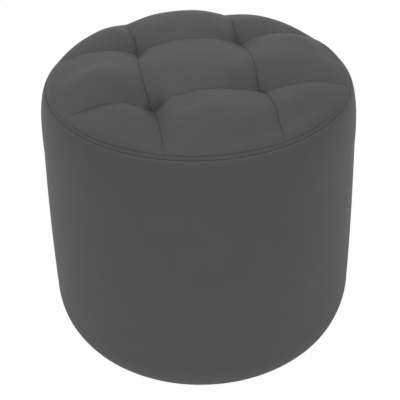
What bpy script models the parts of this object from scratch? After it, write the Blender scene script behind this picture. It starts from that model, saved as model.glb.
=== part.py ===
"""A round tufted pouf: a drum frame, its foam, a cover of nine top panels, rim piping and one side band, and low feet.

The origin is on the floor under the centre. +Z is up and -Y is the front. All sizes are in metres.
"""

import math

import bmesh
import bpy
from mathutils import Matrix, Vector

# Outer form of the cover
RIM_HEIGHT = 0.3537
RIM_RADIUS = 0.182
SHOULDER_RADIUS = 0.196
SHOULDER_DROP = 0.0745
BASE_RADIUS = 0.2045
WALL_BOW = 0.0012
HEM_ROUND_WIDTH = 0.030
HEM_ROUND_HEIGHT = 0.050
HEM_WIDTH = 0.030

# Leatherette and the rim piping
SKIN = 0.0012
PIPING_WIDTH = 0.0054
PIPING_THICKNESS = 0.0030
PIPING_LEAN = math.radians(54)

# Tufted top: where the seams cross, how high the panels swell and how far the seams are drawn in
TUFT_OFFSET = 0.066
TUFT_SINK = 0.0024
PIT_REACH = 0.008
TUFT_REACH = 0.057
CROWN = 0.026
CROWN_POWER = 5.2
CROWN_ROUNDING = 0.62
INNER_SEAM_DRAW = 0.24
OUTER_SEAM_DRAW = 0.50
SEAM_REACH = 0.0465
SEAM_ARCH = 2.1

# Foam
SEAT_FOAM_THICKNESS = 0.046
SIDE_FOAM_THICKNESS = 0.018

# Frame
BOARD_THICKNESS = 0.015
BOARD_BEVEL = 0.007
DRUM_THICKNESS = 0.003
DRUM_LIFT = 0.005
DRUM_BUTT_GAP = 0.002
POST_COUNT = 6
POST_SIZE = 0.028
POST_EDGE = 0.0015
POST_MARGIN = 0.003

# Frame screws
SCREW_LENGTH = 0.045
SCREW_RADIUS = 0.002
SCREW_HEAD_RADIUS = 0.004
SCREW_HEAD_DEPTH = 0.0026
SCREW_TIP = 0.004

# Tuft ties
TWINE_RADIUS = 0.001
TIE_BOARD_HOLE_RADIUS = 0.0025
KNOT_RADIUS = 0.0028
WASHER_RADIUS = 0.012
WASHER_THICKNESS = 0.002

# Underside
DUST_THICKNESS = 0.0006
DUST_INSET = 0.008
FOOT_HEIGHT = 0.006
FOOT_RADIUS = 0.017
FOOT_SOLE_RADIUS = 0.0135
FOOT_BEVEL = 0.0025
FOOT_HEM_MARGIN = 0.001
FOOT_COUNT = 4
FOOT_RECESS_RADIUS = 0.0052
FOOT_RECESS_DEPTH = 0.0034
FOOT_SCREW_RADIUS = 0.0019
FOOT_SCREW_HEAD_RADIUS = 0.0044
FOOT_SCREW_HEAD_HEIGHT = 0.0022
FOOT_SCREW_BITE = 0.011

# Gap left between meshes that touch on the real thing
GAP = 0.0003
# Wider gap under the top panels, whose flat facets meet the foam's at a slant
SEAT_FOAM_GAP = 0.00045
# Spare length of a hole past a screw's tip
TIP_ROOM = 0.001

# Fineness of the meshes
RING_STEPS = 52
PIPING_STEPS = 72
PANEL_STEPS = 8
ROUND_STEPS = 4
WALL_STEPS = 2
SHOULDER_STEPS = 4
SMALL_STEPS = 10

# Heights and radii that follow from the sizes above
COVER_BOTTOM = FOOT_HEIGHT + GAP + DUST_THICKNESS + GAP
BOARD_BOTTOM = COVER_BOTTOM + SKIN + GAP
SHELF_HEIGHT = RIM_HEIGHT - SEAT_FOAM_THICKNESS
SEAT_BOARD_BOTTOM = SHELF_HEIGHT - BOARD_THICKNESS
PANEL_EDGE_RADIUS = RIM_RADIUS - (PIPING_WIDTH / 2 + GAP) * math.cos(PIPING_LEAN)
PANEL_EDGE_HEIGHT = RIM_HEIGHT + (PIPING_WIDTH / 2 + GAP) * math.sin(PIPING_LEAN)
BAND_EDGE_RADIUS = RIM_RADIUS + (PIPING_WIDTH / 2 + GAP) * math.cos(PIPING_LEAN)
BAND_EDGE_HEIGHT = RIM_HEIGHT - (PIPING_WIDTH / 2 + GAP) * math.sin(PIPING_LEAN)

MATERIALS = {
    "leatherette": ((0.090, 0.090, 0.091), 0.45, 0.0),
    "foam": ((0.80, 0.74, 0.56), 0.95, 0.0),
    "hardboard": ((0.24, 0.14, 0.08), 0.75, 0.0),
    "plywood": ((0.55, 0.40, 0.25), 0.70, 0.0),
    "pine": ((0.66, 0.48, 0.28), 0.65, 0.0),
    "zinc_steel": ((0.62, 0.61, 0.58), 0.35, 1.0),
    "twine": ((0.75, 0.73, 0.68), 0.80, 0.0),
    "washer_plastic": ((0.70, 0.70, 0.68), 0.50, 0.0),
    "dust_cloth": ((0.015, 0.015, 0.016), 0.95, 0.0),
    "foot_plastic": ((0.02, 0.02, 0.02), 0.45, 0.0),
}


def clear_scene():
    """Remove whatever the scene holds."""
    for obj in list(bpy.data.objects):
        bpy.data.objects.remove(obj, do_unlink=True)


def material(name):
    """The named finish, made once."""
    found = bpy.data.materials.get(name)
    if found:
        return found
    color, roughness, metallic = MATERIALS[name]
    made = bpy.data.materials.new(name)
    made.use_nodes = True
    shader = made.node_tree.nodes["Principled BSDF"]
    shader.inputs["Base Color"].default_value = (*color, 1.0)
    shader.inputs["Roughness"].default_value = roughness
    shader.inputs["Metallic"].default_value = metallic
    return made


def add_object(name, bm, finish, smooth_below=math.radians(35)):
    """Turn a bmesh into an object of the scene, shaded smooth except at its edges."""
    bmesh.ops.recalc_face_normals(bm, faces=bm.faces)
    mesh = bpy.data.meshes.new(name)
    bm.to_mesh(mesh)
    bm.free()
    mesh.shade_smooth()
    mesh.set_sharp_from_angle(angle=smooth_below)
    if finish:
        mesh.materials.append(material(finish))
    obj = bpy.data.objects.new(name, mesh)
    bpy.context.scene.collection.objects.link(obj)
    return obj


def add_cutter(name, bm):
    """A helper solid that only cuts."""
    cutter = add_object(name, bm, None)
    cutter.hide_render = True
    cutter.display_type = "WIRE"
    return cutter


def cut(obj, cutter):
    """Cut one solid out of another."""
    boolean = obj.modifiers.new("cut", "BOOLEAN")
    boolean.operation = "DIFFERENCE"
    boolean.solver = "EXACT"
    boolean.object = cutter


def turned(profile, steps, sweep=math.tau):
    """Turn a closed (radius, height) outline about the Z axis; points on the axis become poles."""
    bm = bmesh.new()
    verts = [bm.verts.new((radius, 0.0, height)) for radius, height in profile]
    pairs = zip(verts, verts[1:] + verts[:1])
    edges = [bm.edges.new(pair) for pair in pairs if pair[0].co.x + pair[1].co.x > 0]
    whole = sweep >= math.tau
    bmesh.ops.spin(
        bm, geom=verts + edges, cent=(0, 0, 0), axis=(0, 0, 1), angle=sweep, steps=steps, use_merge=whole
    )
    if not whole:
        bmesh.ops.holes_fill(bm, edges=[edge for edge in bm.edges if edge.is_boundary])
    bmesh.ops.remove_doubles(bm, verts=bm.verts, dist=1e-6)
    return bm


def disc(radius, bottom, top, steps=RING_STEPS):
    """A flat disc between two heights."""
    bm = bmesh.new()
    bmesh.ops.create_cone(
        bm, cap_ends=True, segments=steps, radius1=radius, radius2=radius, depth=top - bottom
    )
    bmesh.ops.translate(bm, vec=(0, 0, (top + bottom) / 2), verts=bm.verts)
    return bm


def joined(parts):
    """Several bmeshes as one."""
    whole = bmesh.new()
    for part in parts:
        copy = bpy.data.meshes.new("part")
        part.to_mesh(copy)
        part.free()
        whole.from_mesh(copy)
        bpy.data.meshes.remove(copy)
    return whole


def moved(bm, x, y, z=0.0):
    """Shift a bmesh."""
    bmesh.ops.translate(bm, vec=(x, y, z), verts=bm.verts)
    return bm


def around(radius, count, start):
    """Places evenly round a circle, with their angles."""
    for index in range(count):
        angle = start + math.tau * index / count
        yield radius * math.cos(angle), radius * math.sin(angle), angle


def tuft_places():
    """The four crossings of the top seams."""
    for side_y in (-1, 1):
        for side_x in (-1, 1):
            yield side_x * TUFT_OFFSET, side_y * TUFT_OFFSET


def foot_places():
    """The four feet, between the posts."""
    return around(FOOT_CIRCLE, FOOT_COUNT, math.pi / 4)


def post_places():
    """The posts, with one at the back."""
    return around(POST_CIRCLE, POST_COUNT, math.pi / 2)


def wall_radius(height):
    """Outer radius of the side band at a height, from where it leaves the floor side to the rim."""
    round_top = COVER_BOTTOM + HEM_ROUND_HEIGHT
    shoulder = BAND_EDGE_HEIGHT - SHOULDER_DROP
    if height < round_top:
        below = min((round_top - height) / HEM_ROUND_HEIGHT, 1.0)
        return BASE_RADIUS - HEM_ROUND_WIDTH * (1 - math.sqrt(1 - below**2))
    if height < shoulder:
        share = (height - round_top) / (shoulder - round_top)
        straight = BASE_RADIUS + (SHOULDER_RADIUS - BASE_RADIUS) * share
        return straight + 4 * WALL_BOW * share * (1 - share)
    above = min((height - shoulder) / SHOULDER_DROP, 1.0)
    return BAND_EDGE_RADIUS + (SHOULDER_RADIUS - BAND_EDGE_RADIUS) * math.sqrt(1 - above**2)


def band_outline():
    """The side band's outer (radius, height) outline, with its points closer together where it bends."""
    round_top = COVER_BOTTOM + HEM_ROUND_HEIGHT
    shoulder = BAND_EDGE_HEIGHT - SHOULDER_DROP
    turns = [math.pi / 2 * step / ROUND_STEPS for step in range(ROUND_STEPS)]
    climbs = [(shoulder - round_top) * step / WALL_STEPS for step in range(WALL_STEPS)]
    bends = [math.pi / 2 * step / SHOULDER_STEPS for step in range(SHOULDER_STEPS + 1)]
    heights = [round_top - HEM_ROUND_HEIGHT * math.cos(turn) for turn in turns]
    heights += [round_top + climb for climb in climbs]
    heights += [shoulder + SHOULDER_DROP * math.sin(bend) for bend in bends]
    return [(wall_radius(height), height) for height in heights]


def inset(outline, distance):
    """An open (radius, height) outline moved inwards, to its left as it climbs."""
    points = [Vector(point) for point in outline]
    shifted = []
    for index, point in enumerate(points):
        before = points[max(index - 1, 0)]
        after = points[min(index + 1, len(points) - 1)]
        arriving = (point - before).normalized() if index else (after - point).normalized()
        leaving = (after - point).normalized() if index < len(points) - 1 else arriving
        along = (arriving + leaving).normalized()
        miter = distance / max(along.dot(arriving), 0.5)
        shifted.append(point + Vector((-along.y, along.x)) * miter)
    return [tuple(point) for point in shifted]


def cut_off(outline, axis, level):
    """The stretch of an outline past the place where it first reaches a level of radius (0) or height (1)."""
    for index, (before, after) in enumerate(zip(outline, outline[1:])):
        if before[axis] < level <= after[axis]:
            share = (level - before[axis]) / (after[axis] - before[axis])
            meeting = tuple(low + (high - low) * share for low, high in zip(before, after))
            return [meeting, *outline[index + 1 :]]
    return outline


def drum_radius(height):
    """Outer radius of the drum wall, which is a plain cone from the base board to the seat board."""
    behind = SKIN + GAP + SIDE_FOAM_THICKNESS + GAP
    low = BASE_RADIUS - behind
    high = wall_radius(SHELF_HEIGHT) - behind
    share = (height - BOARD_BOTTOM) / (SHELF_HEIGHT - BOARD_BOTTOM)
    return low + (high - low) * share


def board_radius(height):
    """Radius of a board whose narrower face is at this height, inside the drum wall."""
    return drum_radius(height) - DRUM_THICKNESS - GAP


BASE_BOARD_TOP = BOARD_BOTTOM + BOARD_THICKNESS
BASE_BOARD_RADIUS = board_radius(BASE_BOARD_TOP)
SEAT_BOARD_RADIUS = board_radius(SHELF_HEIGHT)
POST_CIRCLE = min(SEAT_BOARD_RADIUS, BASE_BOARD_RADIUS) - POST_MARGIN - POST_SIZE / 2
FOOT_CIRCLE = BASE_BOARD_RADIUS - HEM_WIDTH - FOOT_HEM_MARGIN - FOOT_SCREW_RADIUS


def draw(across, along):
    """How far a seam pulls the top down, from 0 to 1: across is the distance from it, along is past its tuft."""
    bank = max(0.0, 1 - abs(across) / SEAM_REACH) ** 2
    if along < 0:
        depth = INNER_SEAM_DRAW + (1 - INNER_SEAM_DRAW) * (1 + along / TUFT_OFFSET) ** SEAM_ARCH
    else:
        depth = OUTER_SEAM_DRAW + (1 - OUTER_SEAM_DRAW) * max(0.0, 1 - along / TUFT_REACH) ** 2
    return depth * bank


def top_height(x, y):
    """Height of the outer face of the tufted top: a crown, drawn in along the seams and down at the tufts."""
    share = min(math.hypot(x, y) / PANEL_EDGE_RADIUS, 1.0)
    crown = CROWN * (1 - share**CROWN_POWER) ** CROWN_ROUNDING
    from_x, from_y = abs(x) - TUFT_OFFSET, abs(y) - TUFT_OFFSET
    pull_x, pull_y = draw(from_x, from_y), draw(from_y, from_x)
    both = (pull_x**4 + pull_y**4) ** 0.25
    pull = both / (1 + (2**0.25 - 1) * pull_x * pull_y)
    pit = math.exp(-math.hypot(from_x, from_y) / PIT_REACH)
    return PANEL_EDGE_HEIGHT + crown * (1 - min(pull, 1.0)) - TUFT_SINK * pit


def steepness(x, y):
    """How much longer the top's surface is than its shadow at a place, limited where it stands nearly upright."""
    step = TUFT_SINK / 6
    here = top_height(x, y)
    rise = 0.0
    for dx, dy in ((step, 0), (-step, 0), (0, step), (0, -step)):
        if math.hypot(x + dx, y + dy) < PANEL_EDGE_RADIUS:
            rise = max(rise, abs(top_height(x + dx, y + dy) - here) / step)
    return min(math.sqrt(1 + 2 * rise**2), 2.2)


def eased(share):
    """Closer steps towards both ends, where the panels bend most."""
    return (share + (1 - math.cos(math.pi * share)) / 2) / 2


def on_edge_circle(angle):
    """A place on the circle where the panels end."""
    return Vector((PANEL_EDGE_RADIUS * math.cos(angle), PANEL_EDGE_RADIUS * math.sin(angle)))


def centre_place(a, b, gap):
    """A place on the centre panel."""
    low, high = -TUFT_OFFSET + gap, TUFT_OFFSET - gap
    return Vector((low + (high - low) * a, low + (high - low) * b))


def side_place(a, b, gap):
    """A place on the right panel, from the seam out to the rim."""
    y = (-TUFT_OFFSET + gap) * (1 - b) + (TUFT_OFFSET - gap) * b
    start = TUFT_OFFSET + gap
    return Vector((start + (math.sqrt(PANEL_EDGE_RADIUS**2 - y**2) - start) * a, y))


def corner_place(a, b, gap):
    """A place on the back right panel, blended between its two seams and the two halves of its rim."""
    start = TUFT_OFFSET + gap
    far = math.sqrt(PANEL_EDGE_RADIUS**2 - start**2)
    low_angle, middle = math.atan2(start, far), math.pi / 4
    seam_x = Vector((start + (far - start) * a, start))
    seam_y = Vector((start, start + (far - start) * b))
    rim_x = on_edge_circle(low_angle + (middle - low_angle) * b)
    rim_y = on_edge_circle(math.pi / 2 - low_angle - (middle - low_angle) * a)
    ends = Vector((start, start)) * (1 - a) * (1 - b) + Vector((far, start)) * a * (1 - b)
    ends += Vector((start, far)) * (1 - a) * b + on_edge_circle(middle) * a * b
    return seam_x * (1 - b) + rim_y * b + seam_y * (1 - a) + rim_x * a - ends


def panels():
    """Each top panel's name, the function that gives its places, and its quarter turns from the right or back right."""
    yield "top_panel_centre", centre_place, 0
    for quarter, side in enumerate(("right", "back", "left", "front")):
        yield f"top_panel_{side}", side_place, quarter
    for quarter, corner in enumerate(("back_right", "back_left", "front_left", "front_right")):
        yield f"top_panel_{corner}", corner_place, quarter


def panel_places(place, quarter, gap):
    """The grid of (x, y) places of one panel, turned to its side of the top."""
    cos, sin = (1, 0, -1, 0)[quarter], (0, 1, 0, -1)[quarter]
    grid = []
    for row in range(PANEL_STEPS + 1):
        spots = [place(eased(col / PANEL_STEPS), eased(row / PANEL_STEPS), gap) for col in range(PANEL_STEPS + 1)]
        grid.append([(cos * spot.x - sin * spot.y, sin * spot.x + cos * spot.y) for spot in spots])
    return grid


def under_top(x, y, depth):
    """The point a depth below the outer face of the top; at the rim it lies further in, square to the piping."""
    if math.hypot(x, y) < PANEL_EDGE_RADIUS - GAP:
        return x, y, top_height(x, y) - depth * steepness(x, y)
    inward = 1 - depth * math.sin(PIPING_LEAN) / PANEL_EDGE_RADIUS
    return x * inward, y * inward, PANEL_EDGE_HEIGHT - depth * math.cos(PIPING_LEAN)


def grid_sheet(bm, grid, depth):
    """A sheet over a grid, a depth below the top's outer face, every cell split the same way; returns its rows."""
    rows = [[bm.verts.new(under_top(x, y, depth)) for x, y in line] for line in grid]
    for low, high in zip(rows, rows[1:]):
        for a, b, c, d in zip(low, low[1:], high[1:], high):
            bm.faces.new((a, b, c))
            bm.faces.new((a, c, d))
    return rows


def build_panels():
    """The nine leatherette panels of the top."""
    for name, place, quarter in panels():
        bm = bmesh.new()
        grid = panel_places(place, quarter, GAP / 2)
        sheets = [grid_sheet(bm, grid, depth) for depth in (0.0, SKIN)]
        loops = [
            rows[0] + [row[-1] for row in rows[1:]] + rows[-1][-2::-1] + [row[0] for row in rows[-2:0:-1]]
            for rows in sheets
        ]
        upper, lower = loops
        for i in range(len(upper)):
            bm.faces.new((upper[i - 1], upper[i], lower[i], lower[i - 1]))
        add_object(name, bm, "leatherette", math.radians(50))


def build_piping():
    """The narrow raised band between the top and the wall."""
    outline = []
    for index in range(8):
        angle = math.tau * index / 8
        across = PIPING_WIDTH / 2 * math.cos(angle)
        up = PIPING_THICKNESS / 2 * math.sin(angle)
        radius = RIM_RADIUS + across * math.cos(PIPING_LEAN) + up * math.sin(PIPING_LEAN)
        outline.append((radius, RIM_HEIGHT - across * math.sin(PIPING_LEAN) + up * math.cos(PIPING_LEAN)))
    add_object("rim_piping", turned(outline, PIPING_STEPS), "leatherette", math.radians(60))


def build_side_band():
    """The wall's leatherette, with its hem turned under the base board."""
    outline = [(BASE_BOARD_RADIUS - HEM_WIDTH, COVER_BOTTOM)]
    outline += band_outline()
    inside = inset(outline, SKIN)
    add_object("side_band", turned(outline + inside[::-1], RING_STEPS), "leatherette", math.radians(50))


def build_side_foam():
    """The foam sheet round the drum, up to the level of the seat board's top."""
    behind = inset(band_outline(), SKIN + GAP)
    top = SHELF_HEIGHT - GAP
    start = drum_radius(BOARD_BOTTOM) + GAP
    above = cut_off(behind, 1, top)
    outer = [point for point in cut_off(behind, 0, start) if point[1] < top]
    profile = [*outer, above[0], (drum_radius(top) + GAP, top)]
    add_object("side_foam", turned(profile, RING_STEPS), "foam", math.radians(50))


def build_seat_foam():
    """The seat's foam block: it fills the top, and is drawn down with the panels at the seams and tufts."""
    bm = bmesh.new()
    for _, place, quarter in panels():
        grid_sheet(bm, panel_places(place, quarter, 0.0), SKIN + SEAT_FOAM_GAP)
    bmesh.ops.remove_doubles(bm, verts=bm.verts, dist=GAP / 10)
    bottom = SHELF_HEIGHT + GAP
    rings = cut_off(inset(band_outline(), SKIN + 2 * GAP), 1, bottom)[::-1]
    behind = PIPING_THICKNESS / 2 + GAP
    rings[0] = (RIM_RADIUS - behind * math.sin(PIPING_LEAN), RIM_HEIGHT - behind * math.cos(PIPING_LEAN))
    rim = [edge for edge in bm.edges if edge.is_boundary]
    for radius, height in rings:
        made = bmesh.ops.extrude_edge_only(bm, edges=rim)["geom"]
        for vert in [item for item in made if isinstance(item, bmesh.types.BMVert)]:
            flat = vert.co.xy.normalized() * radius
            vert.co = (flat.x, flat.y, height)
        rim = [item for item in made if isinstance(item, bmesh.types.BMEdge)]
    bmesh.ops.holes_fill(bm, edges=rim)
    foam = add_object("seat_foam", bm, "foam", math.radians(50))
    holes = [
        moved(disc(TWINE_RADIUS + GAP, bottom - SKIN, RIM_HEIGHT + CROWN, SMALL_STEPS), x, y)
        for x, y in tuft_places()
    ]
    cut(foam, add_cutter("seat_foam_tie_holes", joined(holes)))


def build_drum_wall():
    """The hardboard sheet bent round both boards, its ends meeting at the back post."""
    low, high = BOARD_BOTTOM + DRUM_LIFT, SHELF_HEIGHT - GAP
    profile = [
        (drum_radius(low) - DRUM_THICKNESS, low),
        (drum_radius(low), low),
        (drum_radius(high), high),
        (drum_radius(high) - DRUM_THICKNESS, high),
    ]
    opening = DRUM_BUTT_GAP / drum_radius(low)
    bm = turned(profile, RING_STEPS, math.tau - opening)
    bmesh.ops.rotate(bm, cent=(0, 0, 0), matrix=Matrix.Rotation(math.pi / 2 + opening / 2, 3, "Z"), verts=bm.verts)
    add_object("drum_wall", bm, "hardboard")


def screw_outline(grow, tail):
    """Outline of a countersunk screw, head down at height 0, grown by a clearance and lengthened at its tip."""
    head, shank = SCREW_HEAD_RADIUS + grow, SCREW_RADIUS + grow
    end = SCREW_LENGTH + tail
    return [(0, 0), (head, 0), (shank, SCREW_HEAD_DEPTH), (shank, end - SCREW_TIP), (0, end)]


def screw_hole(grow):
    """The hole that a frame screw goes into, open past its head."""
    head = SCREW_HEAD_RADIUS + grow
    outline = screw_outline(grow, TIP_ROOM)
    return turned([(0, -SKIN), (head, -SKIN), *outline[1:]], SMALL_STEPS)


def flipped(bm):
    """A bmesh turned upside down."""
    bmesh.ops.rotate(bm, cent=(0, 0, 0), matrix=Matrix.Rotation(math.pi, 3, "X"), verts=bm.verts)
    return bm


def frame_screw_places():
    """Each frame screw's name, place, head height and whether it points down."""
    for index, (x, y, _) in enumerate(post_places(), start=1):
        yield f"base_screw_{index}", x, y, BOARD_BOTTOM + GAP, False
        yield f"seat_screw_{index}", x, y, SHELF_HEIGHT - GAP, True


def build_frame_screws():
    """One screw up through the base board and one down through the seat board at each post."""
    for name, x, y, height, down in frame_screw_places():
        bm = turned(screw_outline(0.0, 0.0), SMALL_STEPS)
        add_object(name, moved(flipped(bm) if down else bm, x, y, height), "zinc_steel")


def frame_screw_cutter(name, wanted_down):
    """All the holes for the frame screws of one board."""
    holes = []
    for _, x, y, height, down in frame_screw_places():
        if down == wanted_down:
            hole = screw_hole(GAP)
            holes.append(moved(flipped(hole) if down else hole, x, y, height))
    return add_cutter(name, joined(holes))


def build_boards_and_posts():
    """The two boards and the posts between them, with every hole that the screws and ties need."""
    base_outline = [
        (0, BOARD_BOTTOM),
        (BASE_BOARD_RADIUS - BOARD_BEVEL, BOARD_BOTTOM),
        (BASE_BOARD_RADIUS, BOARD_BOTTOM + BOARD_BEVEL),
        (BASE_BOARD_RADIUS, BASE_BOARD_TOP),
        (0, BASE_BOARD_TOP),
    ]
    base = add_object("base_board", turned(base_outline, RING_STEPS), "plywood")
    seat = add_object("seat_board", disc(SEAT_BOARD_RADIUS, SEAT_BOARD_BOTTOM, SHELF_HEIGHT), "plywood")
    upward = frame_screw_cutter("base_screw_holes", False)
    downward = frame_screw_cutter("seat_screw_holes", True)
    cut(base, upward)
    cut(seat, downward)
    foot_holes = [
        moved(disc(FOOT_SCREW_RADIUS + GAP, FOOT_HEIGHT, foot_screw_top() + TIP_ROOM, SMALL_STEPS), x, y)
        for x, y, _ in foot_places()
    ]
    cut(base, add_cutter("base_foot_holes", joined(foot_holes)))
    tie_holes = [
        moved(disc(TIE_BOARD_HOLE_RADIUS, SEAT_BOARD_BOTTOM - SKIN, SHELF_HEIGHT + SKIN, SMALL_STEPS), x, y)
        for x, y in tuft_places()
    ]
    cut(seat, add_cutter("seat_tie_holes", joined(tie_holes)))
    low, high = BASE_BOARD_TOP + GAP, SEAT_BOARD_BOTTOM - GAP
    for index, (x, y, angle) in enumerate(post_places(), start=1):
        bm = bmesh.new()
        bmesh.ops.create_cube(bm, size=1.0)
        bmesh.ops.scale(bm, vec=(POST_SIZE, POST_SIZE, high - low), verts=bm.verts)
        upright = [edge for edge in bm.edges if abs((edge.verts[0].co - edge.verts[1].co).z) > POST_SIZE]
        bmesh.ops.bevel(bm, geom=upright, offset=POST_EDGE, segments=1, affect="EDGES")
        bmesh.ops.rotate(bm, cent=(0, 0, 0), matrix=Matrix.Rotation(angle, 3, "Z"), verts=bm.verts)
        post = add_object(f"post_{index}", moved(bm, x, y, (low + high) / 2), "pine")
        cut(post, upward)
        cut(post, downward)


def build_ties():
    """The twine from each crossing of the seams down through foam and board, knotted under a washer."""
    washer_top = SEAT_BOARD_BOTTOM - GAP
    washer_bottom = washer_top - WASHER_THICKNESS
    knot_top = washer_bottom - GAP
    knot_middle = knot_top - KNOT_RADIUS
    knot_bottom = knot_middle - KNOT_RADIUS
    for index, (x, y) in enumerate(tuft_places(), start=1):
        top = top_height(x, y) - (SKIN + GAP) * steepness(x, y) - GAP
        knot = [(0, knot_bottom), (KNOT_RADIUS * 0.7, knot_bottom + KNOT_RADIUS * 0.3), (KNOT_RADIUS, knot_middle)]
        shaft = [(KNOT_RADIUS * 0.7, knot_top - KNOT_RADIUS * 0.3), (TWINE_RADIUS, knot_top), (TWINE_RADIUS, top)]
        add_object(f"tuft_tie_{index}", moved(turned([*knot, *shaft, (0, top)], SMALL_STEPS), x, y), "twine")
        hole = TWINE_RADIUS + GAP
        ring = [(hole, washer_bottom), (WASHER_RADIUS, washer_bottom), (WASHER_RADIUS, washer_top), (hole, washer_top)]
        add_object(f"tie_washer_{index}", moved(turned(ring, 2 * SMALL_STEPS), x, y), "washer_plastic")


def foot_screw_top():
    """Height of a foot screw's tip."""
    return BOARD_BOTTOM + FOOT_SCREW_BITE


def build_feet():
    """The low feet and the screws that hold them to the base board."""
    hole = FOOT_SCREW_RADIUS + GAP
    foot = [
        (FOOT_RECESS_RADIUS, 0),
        (FOOT_SOLE_RADIUS, 0),
        (FOOT_RADIUS, FOOT_BEVEL),
        (FOOT_RADIUS, FOOT_HEIGHT),
        (hole, FOOT_HEIGHT),
        (hole, FOOT_RECESS_DEPTH),
        (FOOT_RECESS_RADIUS, FOOT_RECESS_DEPTH),
    ]
    head_top = FOOT_RECESS_DEPTH - GAP
    head_bottom = head_top - FOOT_SCREW_HEAD_HEIGHT
    tip = foot_screw_top()
    screw = [
        (0, head_bottom),
        (FOOT_SCREW_HEAD_RADIUS * 0.8, head_bottom),
        (FOOT_SCREW_HEAD_RADIUS, head_bottom + FOOT_SCREW_HEAD_HEIGHT / 2),
        (FOOT_SCREW_HEAD_RADIUS, head_top),
        (FOOT_SCREW_RADIUS, head_top),
        (FOOT_SCREW_RADIUS, tip - FOOT_SCREW_RADIUS),
        (0, tip),
    ]
    for index, (x, y, _) in enumerate(foot_places(), start=1):
        add_object(f"foot_{index}", moved(turned(foot, 2 * SMALL_STEPS), x, y), "foot_plastic")
        add_object(f"foot_screw_{index}", moved(turned(screw, SMALL_STEPS), x, y), "zinc_steel")


def build_dust_cover():
    """The non-woven cloth that closes the underside, over the hem."""
    low = FOOT_HEIGHT + GAP
    cover = add_object("dust_cover", disc(BASE_BOARD_RADIUS - DUST_INSET, low, low + DUST_THICKNESS), "dust_cloth")
    holes = [
        moved(disc(FOOT_SCREW_RADIUS + GAP, 0, BOARD_BOTTOM, SMALL_STEPS), x, y) for x, y, _ in foot_places()
    ]
    cut(cover, add_cutter("dust_cover_holes", joined(holes)))


def main():
    """Build the whole pouf."""
    clear_scene()
    build_boards_and_posts()
    build_frame_screws()
    build_drum_wall()
    build_side_foam()
    build_seat_foam()
    build_panels()
    build_piping()
    build_side_band()
    build_ties()
    build_feet()
    build_dust_cover()


main()
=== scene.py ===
"""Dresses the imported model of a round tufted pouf: its leatherette cover, foam, frame and feet, on a pale floor.

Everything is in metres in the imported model's frame: the floor is z = 0, +Z is up and -Y is the front.
"""

import functools
import logging
import math
from abc import ABC, abstractmethod
from collections.abc import Iterator, Sequence
from dataclasses import dataclass
from enum import Enum
from typing import Any

import bmesh
import bpy
import numpy as np
from mathutils import Matrix, Vector


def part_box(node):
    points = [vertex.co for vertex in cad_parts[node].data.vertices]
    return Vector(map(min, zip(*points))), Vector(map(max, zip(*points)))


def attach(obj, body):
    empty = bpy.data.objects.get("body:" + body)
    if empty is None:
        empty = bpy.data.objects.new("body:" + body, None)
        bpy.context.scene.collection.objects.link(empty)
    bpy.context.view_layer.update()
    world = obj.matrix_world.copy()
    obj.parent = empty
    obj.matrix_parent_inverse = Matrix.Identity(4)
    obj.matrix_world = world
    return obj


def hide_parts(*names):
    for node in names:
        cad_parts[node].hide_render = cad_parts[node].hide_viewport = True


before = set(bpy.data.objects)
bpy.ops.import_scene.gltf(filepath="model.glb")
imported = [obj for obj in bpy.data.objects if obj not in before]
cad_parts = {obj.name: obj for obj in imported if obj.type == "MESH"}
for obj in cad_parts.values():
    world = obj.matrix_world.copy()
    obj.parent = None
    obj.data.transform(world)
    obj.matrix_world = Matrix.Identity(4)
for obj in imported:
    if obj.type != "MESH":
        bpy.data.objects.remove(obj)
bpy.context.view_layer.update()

log = logging.getLogger("pouf")

Array = np.ndarray
Colour = tuple[float, float, float]
Point = tuple[float, float, float]
Spot = tuple[float, float]
Socket = bpy.types.NodeSocket

UP = np.array((0.0, 0.0, 1.0))
WHITE = (1.0, 1.0, 1.0, 1.0)


class Slot(Enum):
    """The record's material slots."""

    LEATHERETTE = "leatherette"
    FOAM = "foam"
    HARDBOARD = "hardboard"
    PLYWOOD = "plywood"
    PINE = "pine"
    STEEL = "zinc_steel"
    TWINE = "twine"
    WASHER = "washer_plastic"
    DUST_CLOTH = "dust_cloth"
    FOOT = "foot_plastic"


class Input(Enum):
    """Kinds of inputs of a Geometry Nodes tree."""

    NUMBER = "NodeSocketFloat"
    COUNT = "NodeSocketInt"
    VECTOR = "NodeSocketVector"
    GEOMETRY = "NodeSocketGeometry"


class Term:
    """A number in a node tree; arithmetic on it adds Math nodes."""

    def __init__(self, graph: "Graph", socket: Socket) -> None:
        """Hold one output socket of a graph."""
        self.graph, self.socket = graph, socket

    def __add__(self, other: "Term | float") -> "Term":
        """Sum."""
        return self.graph.math("ADD", self, other)

    __radd__ = __add__

    def __sub__(self, other: "Term | float") -> "Term":
        """Difference."""
        return self.graph.math("SUBTRACT", self, other)

    def __rsub__(self, other: float) -> "Term":
        """Difference from a plain number."""
        return self.graph.math("SUBTRACT", other, self)

    def __mul__(self, other: "Term | float") -> "Term":
        """Product."""
        return self.graph.math("MULTIPLY", self, other)

    def __truediv__(self, other: "Term | float") -> "Term":
        """Quotient."""
        return self.graph.math("DIVIDE", self, other)

    def __pow__(self, other: float) -> "Term":
        """Power."""
        return self.graph.math("POWER", self, other)

    def __abs__(self) -> "Term":
        """Distance from zero."""
        return self.graph.math("ABSOLUTE", self)

    def sin(self) -> "Term":
        """Sine of an angle in radians."""
        return self.graph.math("SINE", self)

    def cos(self) -> "Term":
        """Cosine of an angle in radians."""
        return self.graph.math("COSINE", self)

    def sign(self) -> "Term":
        """Minus one, zero or one."""
        return self.graph.math("SIGN", self)

    def at_least(self, floor: float) -> "Term":
        """The larger of this and a plain number."""
        return self.graph.math("MAXIMUM", self, floor)

    def repeat(self) -> "Term":
        """The part past the decimal point."""
        return self.graph.math("FRACT", self)


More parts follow.
